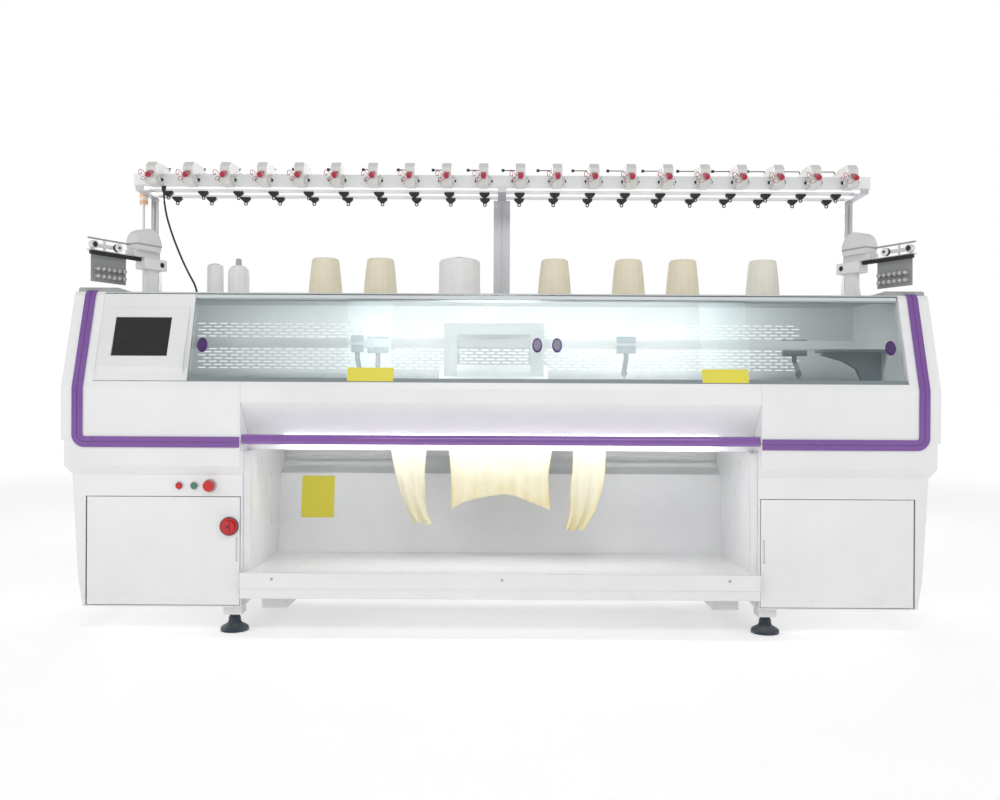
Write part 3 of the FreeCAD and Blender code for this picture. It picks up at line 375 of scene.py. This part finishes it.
redGloss = coatedFinish("redGloss", {"colour": (0.58, 0.01, 0.014), "rough": 0.25, "peel": 500.0,
                                     "rub": (0.75, 0.2, 0.2), "rubAmount": 0.4, "coat": 0.5, "lint": 0.08,
                                     "round": 0.0012})
loopRed = coatedFinish("loopRed", {"colour": (0.42, 0.01, 0.045), "rough": 0.3, "peel": 900.0, "lint": 0.1})
greenGloss = coatedFinish("greenGloss", {"colour": (0.06, 0.22, 0.14), "rough": 0.25, "peel": 500.0,
                                         "coat": 0.5, "lint": 0.08})
ringGrey = coatedFinish("ringGrey", {"colour": (0.5, 0.46, 0.44), "rough": 0.35, "peel": 900.0})
plateYellow = coatedFinish("plateYellow", {"colour": (0.8, 0.72, 0.06), "shade": (0.76, 0.67, 0.07),
                                           "rough": 0.38, "peel": 1200.0, "lint": 0.1, "bump": 0.06})
screenBlack = coatedFinish("screenBlack", {"colour": (0.006, 0.007, 0.008), "shade": (0.012, 0.012, 0.014),
                                           "rough": 0.14, "peel": 90.0, "bump": 0.02, "coat": 0.6,
                                           "lint": 0.02, "broad": 9.0})
footPaint = coatedFinish("footPaint", {"colour": (0.015, 0.03, 0.05), "rough": 0.38, "peel": 160.0,
                                       "bump": 0.5, "depth": 0.001, "rub": (0.3, 0.3, 0.3),
                                       "scuffTop": 0.06})
motorPaint = coatedFinish("motorPaint", {"colour": (0.03, 0.03, 0.034), "rough": 0.42, "peel": 260.0,
                                         "bump": 0.3, "lint": 0.4})
beltRubber = coatedFinish("beltRubber", {"colour": (0.018, 0.018, 0.018), "rough": 0.62, "peel": 900.0,
                                         "bump": 0.4, "lint": 0.4})
rollerRubber = coatedFinish("rollerRubber", {"colour": (0.07, 0.07, 0.075), "rough": 0.66, "peel": 420.0,
                                             "bump": 0.7, "depth": 0.001, "lint": 0.5})
cordJacket = coatedFinish("cordJacket", {"colour": (0.012, 0.012, 0.013), "rough": 0.5, "peel": 700.0,
                                         "bump": 0.2, "lint": 0.06})
lampFinish = coatedFinish("lampFinish", {"colour": (0.8, 0.8, 0.8), "rough": 0.2, "peel": 200.0, "coat": 0.6,
                                         "zones": [(1.957, 2.009, (0.95, 0.55, 0.3)),
                                                   (1.974, 1.99, (0.95, 0.82, 0.7))],
                                         "bump": 0.3})
coreCard = coatedFinish("coreCard", {"colour": (0.55, 0.5, 0.42), "rough": 0.7, "peel": 600.0, "bump": 0.4})
coreRed = coatedFinish("coreRed", {"colour": (0.5, 0.03, 0.03), "rough": 0.5, "peel": 600.0})
coreGrey = coatedFinish("coreGrey", {"colour": (0.42, 0.45, 0.47), "rough": 0.45, "peel": 600.0})
groundSteel = metalFinish("groundSteel", {"colour": (0.62, 0.63, 0.64), "rough": 0.3, "stretch": (1, 60, 60)})
railSteel = metalFinish("railSteel", {"colour": (0.78, 0.79, 0.8), "rough": 0.34, "stretch": (1, 50, 50)})
postAlloy = metalFinish("postAlloy", {"colour": (0.66, 0.67, 0.69), "rough": 0.38, "stretch": (60, 60, 1)})
smallChrome = metalFinish("smallChrome", {"colour": (0.8, 0.8, 0.81), "rough": 0.16, "stretch": (20, 20, 20)})
screwSteel = metalFinish("screwSteel", {"colour": (0.5, 0.5, 0.52), "rough": 0.3, "stretch": (30, 30, 30)})
needleSteel = metalFinish("needleSteel", {"colour": (0.74, 0.75, 0.77), "rough": 0.24, "stretch": (60, 4, 4)})
creamYarn = yarnFinish("creamYarn", {"colour": (0.93, 0.86, 0.67), "turns": 150.0, "crossing": 7.0})
paleYarn = yarnFinish("paleYarn", {"colour": (0.93, 0.9, 0.8), "turns": 150.0, "crossing": 7.0})
whiteYarn = yarnFinish("whiteYarn", {"colour": (0.93, 0.93, 0.92), "turns": 130.0, "crossing": 5.0})
# edge is the ochre of the waste yarn; it also colours the painted fold shade and the painted shade between
# loops
creamKnit = knitFinish("creamKnit", {"colour": (0.9, 0.89, 0.78), "edge": (0.74, 0.64, 0.3)})
clearPane = paneFinish("clearPane", {"tint": (0.965, 0.985, 0.985), "film": (0.92, 0.98, 0.98), "haze": 0.03})
print("finishes made")

finishes = {
    "whiteCoat": ["centre_fascia", "rear_cover", "cabinet_left", "cabinet_right", "cabinet_door_left",
                  "cabinet_door_right", "bay_tray", "bay_liner", "cone_shelf", "creel_rails",
                  "feeder_stands", "upper_casing_left", "upper_casing_right"],
    "trackCoat": ["window_tracks"],
    "frameCoat": ["base_frame"],
    "innerCoat": ["rear_hood"],
    "capCoat": ["end_caps"],
    "slateCoat": ["bed_support", "rail_brackets", "yarn_carrier_1", "yarn_carrier_2", "yarn_carrier_3",
                  "yarn_carrier_4"],
    "trimGloss": ["side_trims"],
    "barGloss": ["start_bar"],
    "panelWhite": ["screen_housing"],
    "shellWhite": ["carriage_covers", "carriage_arch"],
    "unitShell": ["tension_units"],
    "driveShell": ["feeder_drives"],
    "blackMould": ["yarn_eyelets", "cable_glands", "feeler_arms", "feed_roller_left", "feed_roller_right"],
    "redGloss": ["main_switch", "stop_button", "emergency_stop"],
    "greenGloss": ["start_button"],
    "screenBlack": ["screen_glass"],
    "footPaint": ["levelling_feet"],
    "motorPaint": ["drive_motor"],
    "beltRubber": ["drive_belt"],
    "rollerRubber": ["take_down_roller_front", "take_down_roller_rear"],
    "groundSteel": ["needle_beds", "guide_rails", "cam_plates"],
    "railSteel": ["yarn_rails"],
    "postAlloy": ["creel_posts", "drive_pulley", "idler_pulley"],
    "lampFinish": ["signal_lamp"],
    "clearPane": ["window_door_1", "window_door_2", "window_door_3", "window_door_4"],
}
for finish, names in finishes.items():
    for name in names:
        for seat in cadNodes[name].material_slots:
            seat.material = bpy.data.materials[finish]
print("finishes on the frame")


# mesh helpers
def finishPiece(name, bm, material, body, sharp=35):
    mesh = bpy.data.meshes.new(name)
    bmesh.ops.recalc_face_normals(bm, faces=bm.faces)
    bm.to_mesh(mesh)
    bm.free()
    mesh.materials.append(material)
    mesh.shade_smooth()
    mesh.set_sharp_from_angle(angle=math.radians(sharp))
    piece = bpy.data.objects.new(name, mesh)
    bpy.context.scene.collection.objects.link(piece)
    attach(piece, body)
    return piece


def lathe(bm, profile, origin, axis=(0, 0, 1), steps=28):  # profile of (radius, along) in mm
    axis = Vector(axis).normalized()
    side = axis.orthogonal().normalized()
    other = axis.cross(side)
    rings = []
    for radius, along in profile:
        centre = Vector(origin) + axis * along / 1000
        if radius <= 0:
            rings.append([bm.verts.new(centre)])
            continue
        turn = [2 * math.pi * i / steps for i in range(steps)]
        rings.append([bm.verts.new(centre + (side * math.cos(t) + other * math.sin(t)) * radius / 1000)
                      for t in turn])
    for low, high in zip(rings, rings[1:]):
        for i in range(steps):
            j = (i + 1) % steps
            corners = [low[i % len(low)], low[j % len(low)], high[j % len(high)], high[i % len(high)]]
            corners = [v for k, v in enumerate(corners) if v not in corners[:k]]
            if len(corners) > 2:
                bm.faces.new(corners)


def softBox(bm, low, high, edge=1.0, turn=None):  # a block with rounded edges, sizes in mm
    low, high = Vector(low), Vector(high)
    size = high - low
    made = bmesh.ops.create_cube(bm, size=1, matrix=Matrix.Translation((low + high) / 2)
                                 @ Matrix.Diagonal((*size, 1)))
    edges = list({e for v in made["verts"] for e in v.link_edges})
    rounded = bmesh.ops.bevel(bm, geom=edges, offset=edge / 1000, segments=2, affect="EDGES", profile=0.7)
    if turn is not None:
        corners = {v for f in rounded["faces"] for v in f.verts}
        bmesh.ops.transform(bm, matrix=turn, verts=list(corners))


def wire(name, runs, radius, material, body, closed=False, order=3):  # bent wire, radius in mm
    curve = bpy.data.curves.new(name, "CURVE")
    curve.dimensions = "3D"
    curve.bevel_depth = radius / 1000
    curve.bevel_resolution = 3
    curve.resolution_u = 8
    curve.use_fill_caps = True
    for run in runs:
        line = curve.splines.new("NURBS")
        line.points.add(len(run) - 1)
        for point, spot in zip(line.points, run):
            point.co = (*spot, 1)
        line.use_endpoint_u = not closed
        line.use_cyclic_u = closed
        line.order_u = order
    curve.materials.append(material)
    piece = bpy.data.objects.new(name, curve)
    bpy.context.scene.collection.objects.link(piece)
    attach(piece, body)
    return piece


# signal cable from the creel down to the machine's top
signalCable = {"diameter": 9, "length": 0.5701,
               "route": [(-1.596, -0.0075, 1.985), (-1.591, -0.0125, 1.925), (-1.569, -0.0355, 1.851),
                         (-1.531, -0.0675, 1.762), (-1.482, -0.1045, 1.665), (-1.430, -0.1415, 1.577),
                         (-1.391, -0.1695, 1.522), (-1.383, -0.1755, 1.492)]}
cable = wire("signalCable", [signalCable["route"]], signalCable["diameter"] / 2, cordJacket, "root")
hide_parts("signal_cable")
print("signal cable laid")

# pale floor
floorPlan = {"radius": 120.0, "colour": (0.84, 0.84, 0.835), "near": 0.35, "far": 0.62}
floorFinish, tree, shader, spot = startMaterial("floorFinish")
speck = addNode(tree, "TexNoise", {"Vector": spot, "Scale": 2.0, "Detail": 6.0})
tree.links.new(blendColour(tree, speck.outputs[0], floorPlan["colour"], (0.88, 0.88, 0.875)),
               shader.inputs["Base Color"])
tree.links.new(spread(tree, speck.outputs[0], 0.3, 0.7, 0.6, 0.75), shader.inputs["Roughness"])
away = addNode(tree, "VectorMath", {0: spot}, operation="LENGTH").outputs["Value"]
lift = spread(tree, away, 3.0, 12.0, floorPlan["near"], floorPlan["far"])
tree.links.new(lift, shader.inputs["Emission Color"])
setShader(shader, Emission_Strength=1.0)
bm = bmesh.new()
bmesh.ops.create_circle(bm, cap_ends=True, segments=96, radius=floorPlan["radius"])
floorMesh = bpy.data.meshes.new("floor")
bm.to_mesh(floorMesh)
bm.free()
floorMesh.materials.append(floorFinish)
floor = bpy.data.objects.new("floor", floorMesh)
bpy.context.scene.collection.objects.link(floor)

# lights: soft room light, four boxes round the machine, and a strip in the bay and in the head
studio = {
    "room": 0.47,
    "boxes": [
        {"name": "frontBox", "place": (0.36, -4.9, 4.85), "aim": (0.0, -0.2, 1.1),
         "size": (3.8, 1.5), "power": 76},
        {"name": "leftBox", "place": (-4.6, -3.2, 2.6), "aim": (-0.6, 0, 1.0),
         "size": (1.6, 2.4), "power": 34},
        {"name": "rightBox", "place": (4.8, -2.8, 3.0), "aim": (0.6, 0, 1.0),
         "size": (1.6, 2.4), "power": 22},
        {"name": "rearBox", "place": (0.0, 4.4, 3.2), "aim": (0, 0.4, 1.3),
         "size": (4.5, 1.8), "power": 90},
        {"name": "bayLamp", "place": (0.0, -0.31, 0.86), "aim": (0, 0.1, 0.3),
         "size": (1.9, 0.08), "power": 6},
        {"name": "headLamp", "place": (0.0, -0.27, 1.42), "aim": (0, -0.02, 1.1),
         "size": (2.9, 0.05), "power": 8},
    ],
}
world = bpy.data.worlds.new("studio")
world.use_nodes = True
bpy.context.scene.world = world
sky = world.node_tree
room = sky.nodes["Background"]
room.inputs["Color"].default_value = (1.0, 1.0, 1.0, 1)
seen = sky.nodes.new("ShaderNodeLightPath")
level = sky.nodes.new("ShaderNodeMapRange")
sky.links.new(seen.outputs["Is Camera Ray"], level.inputs["Value"])
level.inputs["To Min"].default_value = studio["room"]
level.inputs["To Max"].default_value = 1.0
sky.links.new(level.outputs[0], room.inputs["Strength"])
for box in studio["boxes"]:
    lamp = bpy.data.lights.new(box["name"], "AREA")
    lamp.shape = "RECTANGLE"
    lamp.size, lamp.size_y = box["size"]
    lamp.energy = box["power"]
    lampObject = bpy.data.objects.new(box["name"], lamp)
    lampObject.location = box["place"]
    heading = Vector(box["aim"]) - Vector(box["place"])
    lampObject.rotation_euler = heading.to_track_quat("-Z", "Y").to_euler()
    lampObject.visible_camera = False
    bpy.context.scene.collection.objects.link(lampObject)
bpy.context.scene.view_settings.view_transform = "Standard"
print("studio lit")


# knitted strips that hang from the take-down rollers
stripPlan = {
    "leftStrip": {"levels": [(1090, -505, -342), (868, -505, -342), (786, -505, -342), (680, -488, -346),
                             (560, -452, -350), (480, -425, -330), (440, -402, -306)],
                  "waves": 2.3, "phase": 0.6, "ochreAndFoldShade": 0.35,
                  "hem": [(0, -6), (0.35, 10), (0.7, -12), (1, 6)]},
    "centreStrip": {"levels": [(1090, -236, 235), (868, -236, 235), (786, -236, 235), (640, -228, 222),
                               (520, -232, 228)],
                    "waves": 7.5, "phase": 0.2,
                    "hem": [(0, -14), (0.12, 18), (0.25, 34), (0.42, 48), (0.55, 56), (0.66, 50), (0.82, 20),
                            (1, -16)], "ochreAndFoldShade": 0.5},
    "rightStrip": {"levels": [(1090, 329, 486), (868, 329, 486), (786, 332, 484), (680, 330, 480),
                              (600, 320, 466), (500, 316, 436), (412, 296, 376)],
                   "waves": 2.6, "phase": 2.2, "hem": [(0, 8), (0.4, -4), (0.75, 8), (1, -4)], "ochreAndFoldShade": 0.6},
}


def between(pairs, value):  # straight interpolation down a list of (position, amount)
    for (a, low), (b, high) in zip(pairs, pairs[1:]):
        if min(a, b) <= value <= max(a, b):
            return low + (high - low) * (value - a) / (b - a)
    return pairs[-1][1] if abs(value - pairs[-1][0]) < abs(value - pairs[0][0]) else pairs[0][1]


def hangStrip(name, plan, columns, rows):
    levels = plan["levels"]
    top, low = levels[0][0], levels[-1][0]
    fullWidth = levels[0][2] - levels[0][1]
    bm = bmesh.new()
    ochreAndFoldShade = bm.verts.layers.float.new("ochreAndFoldShade")
    grid = []
    for r in range(rows + 1):
        t = r / rows
        row = []
        for c in range(columns + 1):
            u = c / columns
            hem = between(plan["hem"], u)
            z = top + (low - top) * t + hem * max(0.0, (t - 0.45) / 0.55) ** 1.5
            left = between([(l[0], l[1]) for l in levels], max(z, low))
            right = between([(l[0], l[2]) for l in levels], max(z, low))
            width = right - left
            free = min(1.0, max(0.0, (850 - z) / 200))  # folds open below the rollers
            slack = max(0.0, fullWidth / width - 1)
            deep = width / (math.pi * plan["waves"]) * math.sqrt(slack + 0.012) * free
            deep = min(deep, 17.0)
            swing = math.sin(2 * math.pi * plan["waves"] * u + plan["phase"] + 1.1 * math.sin(3.0 * t + u))
            curl = 7.0 * free * (max(0.0, 1 - u / 0.06) ** 2 + max(0.0, 1 - (1 - u) / 0.06) ** 2)
            x = left + width * (u + 0.012 * free * math.sin(9 * t + 4 * u))
            x += 2.2 * free * math.sin(17 * t + plan["phase"]) * (2 * u - 1)
            y = 320 + deep * swing - curl
            v = bm.verts.new(place(x, y, z))
            # mask: ochre waste yarn at the edges and foot, plus painted shade on one side of each fold
            rim = max(0.0, 1 - u / 0.05, 1 - (1 - u) / 0.05)
            foot = max(0.0, 1 - (1 - t) / 0.3)
            foldShade = 0.5 - 0.5 * swing
            v[ochreAndFoldShade] = min(1.0, 0.08 + plan["ochreAndFoldShade"] * (1.1 * rim * free + 0.8 * foot + 0.35 * foldShade * free))
            row.append(v)
        grid.append(row)
    for a, b in zip(grid, grid[1:]):
        for i in range(columns):
            bm.faces.new((a[i], a[i + 1], b[i + 1], b[i]))
    piece = finishPiece(name, bm, creamKnit, "root", sharp=180)
    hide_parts("knitted_fabric")
    return piece, fullWidth / 1000, (top - low) / 1000


for name, plan in stripPlan.items():
    strip, width, length = hangStrip(name, plan, 120 if name == "centreStrip" else 56, 150)
print("knitted strips hung")

# yarn packages on the shelf
shelfTop = 1496
packageShapes = {
    "cone": {"yarn": [(0, 3), (78, 3), (80, 8), (79.5, 30), (74, 96), (67, 160), (63.5, 181), (58, 187),
                      (40, 188), (30, 187)],
             "core": [(30, 170), (30, 190), (26, 190), (26, 150)]},
    "slim": {"yarn": [(0, 0), (37, 0), (38, 5), (38, 80), (37.5, 148), (33, 155), (20, 157)],
             "core": [(20, 140), (20, 160), (14, 160), (14, 130)]},
    "bobbin": {"yarn": [(0, 0), (37, 0), (46, 9), (50, 30), (50, 80), (48, 128), (40, 142), (30, 150),
                        (15, 155)],
               "core": [(15, 140), (14, 176), (12, 184), (10, 186), (7, 186), (7, 150)]},
    "wide": {"yarn": [(0, 0), (109, 0), (111, 6), (108, 16), (101, 26), (98.5, 60), (98, 172), (92, 181),
                      (72, 188), (34, 190)],
             "core": [(34, 170), (33, 194), (30, 196), (20, 196), (20, 160)]},
}
packages = [
    {"name": "packageSlim", "x": -1376, "shape": "slim", "yarn": whiteYarn, "core": coreGrey},
    {"name": "packageBobbin", "x": -1264, "shape": "bobbin", "yarn": whiteYarn, "core": coreGrey},
    {"name": "packageOne", "x": -846, "shape": "cone", "yarn": creamYarn, "core": coreCard},
    {"name": "packageTwo", "x": -582, "shape": "cone", "yarn": creamYarn, "core": coreCard},
    {"name": "packageWide", "x": -202, "shape": "wide", "yarn": whiteYarn, "core": coreRed},
    {"name": "packageThree", "x": 254, "shape": "cone", "yarn": creamYarn, "core": coreCard},
    {"name": "packageFour", "x": 609, "shape": "cone", "yarn": creamYarn, "core": coreCard},
    {"name": "packageFive", "x": 869, "shape": "cone", "yarn": creamYarn, "core": coreCard},
    {"name": "packageSix", "x": 1254, "shape": "cone", "yarn": paleYarn, "core": coreCard},
]
for package in packages:
    shape = packageShapes[package["shape"]]
    for part, material in (("yarn", package["yarn"]), ("core", package["core"])):
        bm = bmesh.new()
        lathe(bm, shape[part], (0, 0, 0), steps=72)
        for v in bm.verts:  # wound yarn is never quite round
            turn = math.atan2(v.co.y, v.co.x)
            v.co.xy *= 1 + 0.004 * math.sin(3 * turn + package["x"]) * min(1, v.co.xy.length / 0.05)
        mesh = bpy.data.meshes.new(package["name"] + part)
        bmesh.ops.recalc_face_normals(bm, faces=bm.faces)
        bm.to_mesh(mesh)
        bm.free()
        mesh.materials.append(material)
        mesh.shade_smooth()
        mesh.set_sharp_from_angle(angle=math.radians(50))
        piece = bpy.data.objects.new(package["name"] + ("" if part == "yarn" else "Core"), mesh)
        piece.location = place(package["x"], 515, shelfTop)
        bpy.context.scene.collection.objects.link(piece)
        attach(piece, "root")
        if part == "yarn":
            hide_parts("yarn_cones")
print("yarn packages wound")

# oval finger pulls on the clear doors
pullPlan = {"halfTall": 32.5, "halfWide": 21.5, "along": 205,
            "pane": 5, "steps": 48, "doors": {1: (-1301, 22), 2: (156, 8), 3: (242, 8), 4: (1694, 22)}}
pullProfile = [(0.0, 1.0), (0.62, 1.0), (0.72, 1.4), (0.8, 2.6), (0.86, 3.2), (0.93, 3.0), (0.99, 2.2),
               (1.0, 0.4), (1.0, -0.2)]  # share of the radius, height over the pane
for number, (across, behind) in pullPlan["doors"].items():
    bm = bmesh.new()
    steps = pullPlan["steps"]
    for facing in (-1, 1):  # front dish and back dish
        rings = []
        for share, rise in pullProfile:
            face = behind - rise if facing < 0 else behind + pullPlan["pane"] + rise
            wide, tall = share * pullPlan["halfWide"], share * pullPlan["halfTall"]
            turns = [2 * math.pi * i / steps for i in range(steps if share else 1)]
            rings.append([bm.verts.new(leanPlace(across + wide * math.cos(a),
                                                 pullPlan["along"] + tall * math.sin(a), face))
                          for a in turns])
        for low, high in zip(rings, rings[1:]):
            for i in range(steps):
                j = (i + 1) % steps
                if len(low) == 1:
                    bm.faces.new((low[0], high[j], high[i]))
                else:
                    bm.faces.new((low[i], low[j], high[j], high[i]))
    finishPiece("fingerPull%d" % number, bm, pullGloss, "door_%d" % number)
print("finger pulls set")


# thin plates with rounded corners, drawn across and up on a plane
def thinPlate(name, corner, spotOn, size, thick, material, body):
    wide, tall = size
    outline = []
    for cx, cy, start in ((wide - corner, tall - corner, 0), (corner, tall - corner, 90),
                          (corner, corner, 180), (wide - corner, corner, 270)):
        for k in range(5):
            a = math.radians(start + 22.5 * k)
            outline.append((cx + corner * math.cos(a), cy + corner * math.sin(a)))
    bm = bmesh.new()
    loops = [[bm.verts.new(spotOn(x, y, depth)) for x, y in outline] for depth in (0.0, -thick)]
    for i in range(len(outline)):
        j = (i + 1) % len(outline)
        bm.faces.new((loops[0][i], loops[0][j], loops[1][j], loops[1][i]))
    bm.faces.new(loops[0])
    bm.faces.new(loops[1])
    return finishPiece(name, bm, material, body)


doorPlates = {"doorPlateLeft": (-659, 28, 8, "door_2"), "doorPlateRight": (862, 28, 8, "door_3")}
for name, (x0, along, behind, body) in doorPlates.items():
    thinPlate(name, 3, lambda x, y, d: leanPlace(x0 + x, along + 6 + y, behind + d), (198, 62), 6.2,
              plateYellow, body)


bayPlate = {"left": -976, "low": 431, "wallFoot": (572, 265), "slope": 59 / 382, "gap": 0.4}


def wallPlace(x, y, d):  # on the sloped back wall of the bay
    footBack, footUp = bayPlate["wallFoot"]
    up = bayPlate["low"] + y
    return place(bayPlate["left"] + x, footBack + (up - footUp) * bayPlate["slope"] - bayPlate["gap"] + d, up)


thinPlate("bayPlate", 4, wallPlace, (160, 201), 0.8, plateYellow, "root")
print("plates fixed")

# screws on the tray
screwHead = [(0, 1.2), (2.4, 1.2), (2.4, 2.8), (4.6, 2.8), (5.6, 2.0), (6.0, 0.8), (6.0, 0.0)]
screwSpots = [(-975, 4, 240), (8, 4, 240), (980, 4, 240)]
bm = bmesh.new()
for spot in screwSpots:
    lathe(bm, screwHead, place(*spot), (0, -1, 0), 20)
finishPiece("trayScrews", bm, screwSteel, "root")

# rings round the push buttons and the dark rim of the main switch
buttonRing = [(14.2, 0), (14.2, 8), (15.2, 9), (17.2, 9), (18.4, 7), (19.5, 2), (19.5, 0)]
ringShapes = {
    "stopRing": ((-1381, 40, 634), buttonRing, smallChrome),
    "startRing": ((-1317, 40, 634), buttonRing,
                  smallChrome),
    "emergencyRing": ((-1251, 40, 634),
                      [(11.5, 0), (11.5, 5), (22, 6), (27, 5.5), (29, 3), (29.5, 0)], ringGrey),
}
for name, (spot, profile, material) in ringShapes.items():
    bm = bmesh.new()
    lathe(bm, profile + profile[:1], place(*spot), (0, -1, 0), 40)
    finishPiece(name, bm, material, "root")
bm = bmesh.new()
lathe(bm, [(36.8, 0.6), (36.8, 9.2), (37.4, 10.2), (39.0, 10.2), (39.8, 9.2), (39.8, 0.6), (36.8, 0.6)],
      place(-1166, 40, 460), (0, -1, 0), 56)
finishPiece("switchRim", bm, blackMould, "main_switch")
bm = bmesh.new()
lathe(bm, [(0, 36.2), (5, 36.2), (6, 35.6)], place(-1166, 40, 460), (0, -1, 0), 24)
finishPiece("switchCentre", bm, blackMould, "main_switch")
print("buttons trimmed")

# needles in both beds
needleBed = {"half": 980, "pitch": 5.0, "gap": 320, "top": 1105, "run": 200, "halfGap": 4}
root2 = math.sqrt(0.5)


def bedPlace(across, along, lift, rear):
    footY = needleBed["gap"] - needleBed["halfGap"] - needleBed["run"] * root2
    footZ = needleBed["top"] - needleBed["run"] * root2
    y, z = footY + along * root2 - lift * root2, footZ + along * root2 + lift * root2
    return place(across, 2 * needleBed["gap"] - y if rear else y, z)


for rear in (False, True):
    bm = bmesh.new()
    count = int(2 * needleBed["half"] / needleBed["pitch"])
    for i in range(count + 1):
        x = -needleBed["half"] + i * needleBed["pitch"]
        raised = 1.6 if i % 2 else 2.2
        shape = [(6, -0.6), (196, -0.6), (203, 0.6), (203.6, 2.0), (201.5, 2.6), (198, 1.4), (150, raised),
                 (60, raised), (58, 2.6), (50, 2.6), (48, raised), (6, raised)]
        sides = [[bm.verts.new(bedPlace(x + w, a, l, rear)) for a, l in shape] for w in (-0.5, 0.5)]
        for j in range(len(shape)):
            k = (j + 1) % len(shape)
            bm.faces.new((sides[0][j], sides[0][k], sides[1][k], sides[1][j]))
    finishPiece("rearNeedles" if rear else "frontNeedles", bm, needleSteel, "root")
print("needles set")

# small parts on the twenty tension units
unitPlan = {"count": 20, "pitch": 170.5, "rail": 2068}
unitAcross = [(i - (unitPlan["count"] - 1) / 2) * unitPlan["pitch"] for i in range(unitPlan["count"])]
rail = unitPlan["rail"]
levers, rims, knobs = bmesh.new(), bmesh.new(), bmesh.new()
loopRuns, tailRuns = [], []
for x in unitAcross:
    tilt = Matrix.Translation(place(x, 318, rail - 18)) @ Matrix.Rotation(0.5, 4, "X")
    softBox(levers, (-0.012, -0.036, -0.005), (0.012, 0.014, 0.005), 1.5, tilt)
    lathe(levers, [(0, 17), (8, 17), (11.3, 15), (11.8, 13), (11.2, 2), (8, 0), (0, 0)],
          place(x, 299.5, rail - 36), (0, -1, 0), 20)
    for side in (-1, 1):
        lathe(rims, [(8, 0), (17.2, 0), (18.6, 1.5), (18.6, 3.2), (17, 5), (14.5, 5), (13.5, 3.2), (8, 3.2),
                     (8, 0)],
              place(x + side * 31, 372, rail - 40), (side, 0, 0), 28)
        lathe(knobs, [(0, 9), (5, 9), (6.6, 7.5), (6.6, 3), (8.4, 2), (8.4, 0), (0, 0)],
              place(x + side * 33, 372, rail - 40), (side, 0, 0), 18)
    bx, by, bz = x - 26, 318, rail - 22
    loopRuns.append([place(bx + 6, by + 8, bz - 2), place(bx, by, bz + 2), place(bx - 9, by - 4, bz + 14),
                     place(bx - 20, by - 6, bz + 15), place(bx - 24, by - 6, bz + 3),
                     place(bx - 21, by - 6, bz - 8), place(bx - 12, by - 6, bz - 8),
                     place(bx - 10, by - 5, bz + 3)])
    tailRuns.append([place(x - 8, 300, rail - 46), place(x - 18, 296, rail - 58),
                     place(x - 30, 298, rail - 60), place(x - 38, 306, rail - 50),
                     place(x - 34, 314, rail - 40), place(x - 22, 326, rail - 34)])
finishPiece("unitLevers", levers, loopRed, "root")
finishPiece("discRims", rims, smallChrome, "root")
finishPiece("discKnobs", knobs, blackMould, "root")
wire("unitLoops", loopRuns, 1.5, loopRed, "root")
wire("unitHooks", tailRuns, 1.2, loopRed, "root")
print("tension units dressed")

# small parts on the two side feeders
feederPlan = {"across": 1620, "back": 336, "turn": math.radians(60)}


def feederPlace(side, u, v, up):
    c, s = math.cos(feederPlan["turn"]), math.sin(feederPlan["turn"])
    return place(side * (feederPlan["across"] + u * c + v * s), feederPlan["back"] - u * s + v * c, up)


def feederAxis(side):  # towards the front of a feeder
    c, s = math.cos(feederPlan["turn"]), math.sin(feederPlan["turn"])
    return Vector((-side * s, -c, 0))


for side, word in ((-1, "Left"), (1, "Right")):
    body = "feed_roller_" + word.lower()
    pins = bmesh.new()
    for row in range(2):
        for column in range(6):
            spot = feederPlace(side, 150 + column * 27, -14, 1541 + row * 32)
            lathe(pins, [(0, 6), (3, 6), (3.6, 5), (3.6, 0.5), (8.6, 0.5), (9.4, -0.5), (9.4, -2.5),
                         (7, -3.5), (6.5, -6), (9.6, -7), (9.6, -9.5)], spot, feederAxis(side), 20)
    finishPiece("feederPins" + word, pins, smallChrome, "root")
    rollers = bmesh.new()
    lathe(rollers, [(6, 2.5), (17, 2.5), (18.6, 1), (18.6, -3), (17, -4), (6, -4)],
          feederPlace(side, 180, -10, 1676), feederAxis(side), 32)
    finishPiece("rollerRim" + word, rollers, shellWhite, body)
    caps = bmesh.new()
    for profile, spot, steps in (
            ([(0, 4), (4, 4), (5.5, 2.5), (5.5, 0)], (180, -13.5, 1676), 20),
            ([(0, 2.6), (10, 2.6), (12, 1.4), (12, -0.5)], (300, -8, 1676), 28),
            ([(0, 1), (9, 1), (11.5, 0), (11.5, -6)], (-40, -30, 1626), 28)):
        lathe(caps, profile, feederPlace(side, *spot), feederAxis(side), steps)
    finishPiece("feederCaps" + word, caps, blackMould, "root")
    belt = bmesh.new()
    band = [belt.verts.new(feederPlace(side, u, v, up)) for u in (48, 318) for v in (-10, 9)
            for up in (1634, 1649.5)]
    for corners in ((0, 1, 3, 2), (4, 6, 7, 5), (0, 4, 5, 1), (2, 3, 7, 6), (0, 2, 6, 4), (1, 5, 7, 3)):
        belt.faces.new([band[i] for i in corners])
    finishPiece("feederBelt" + word, belt, beltRubber, "root")
print("side feeders dressed")
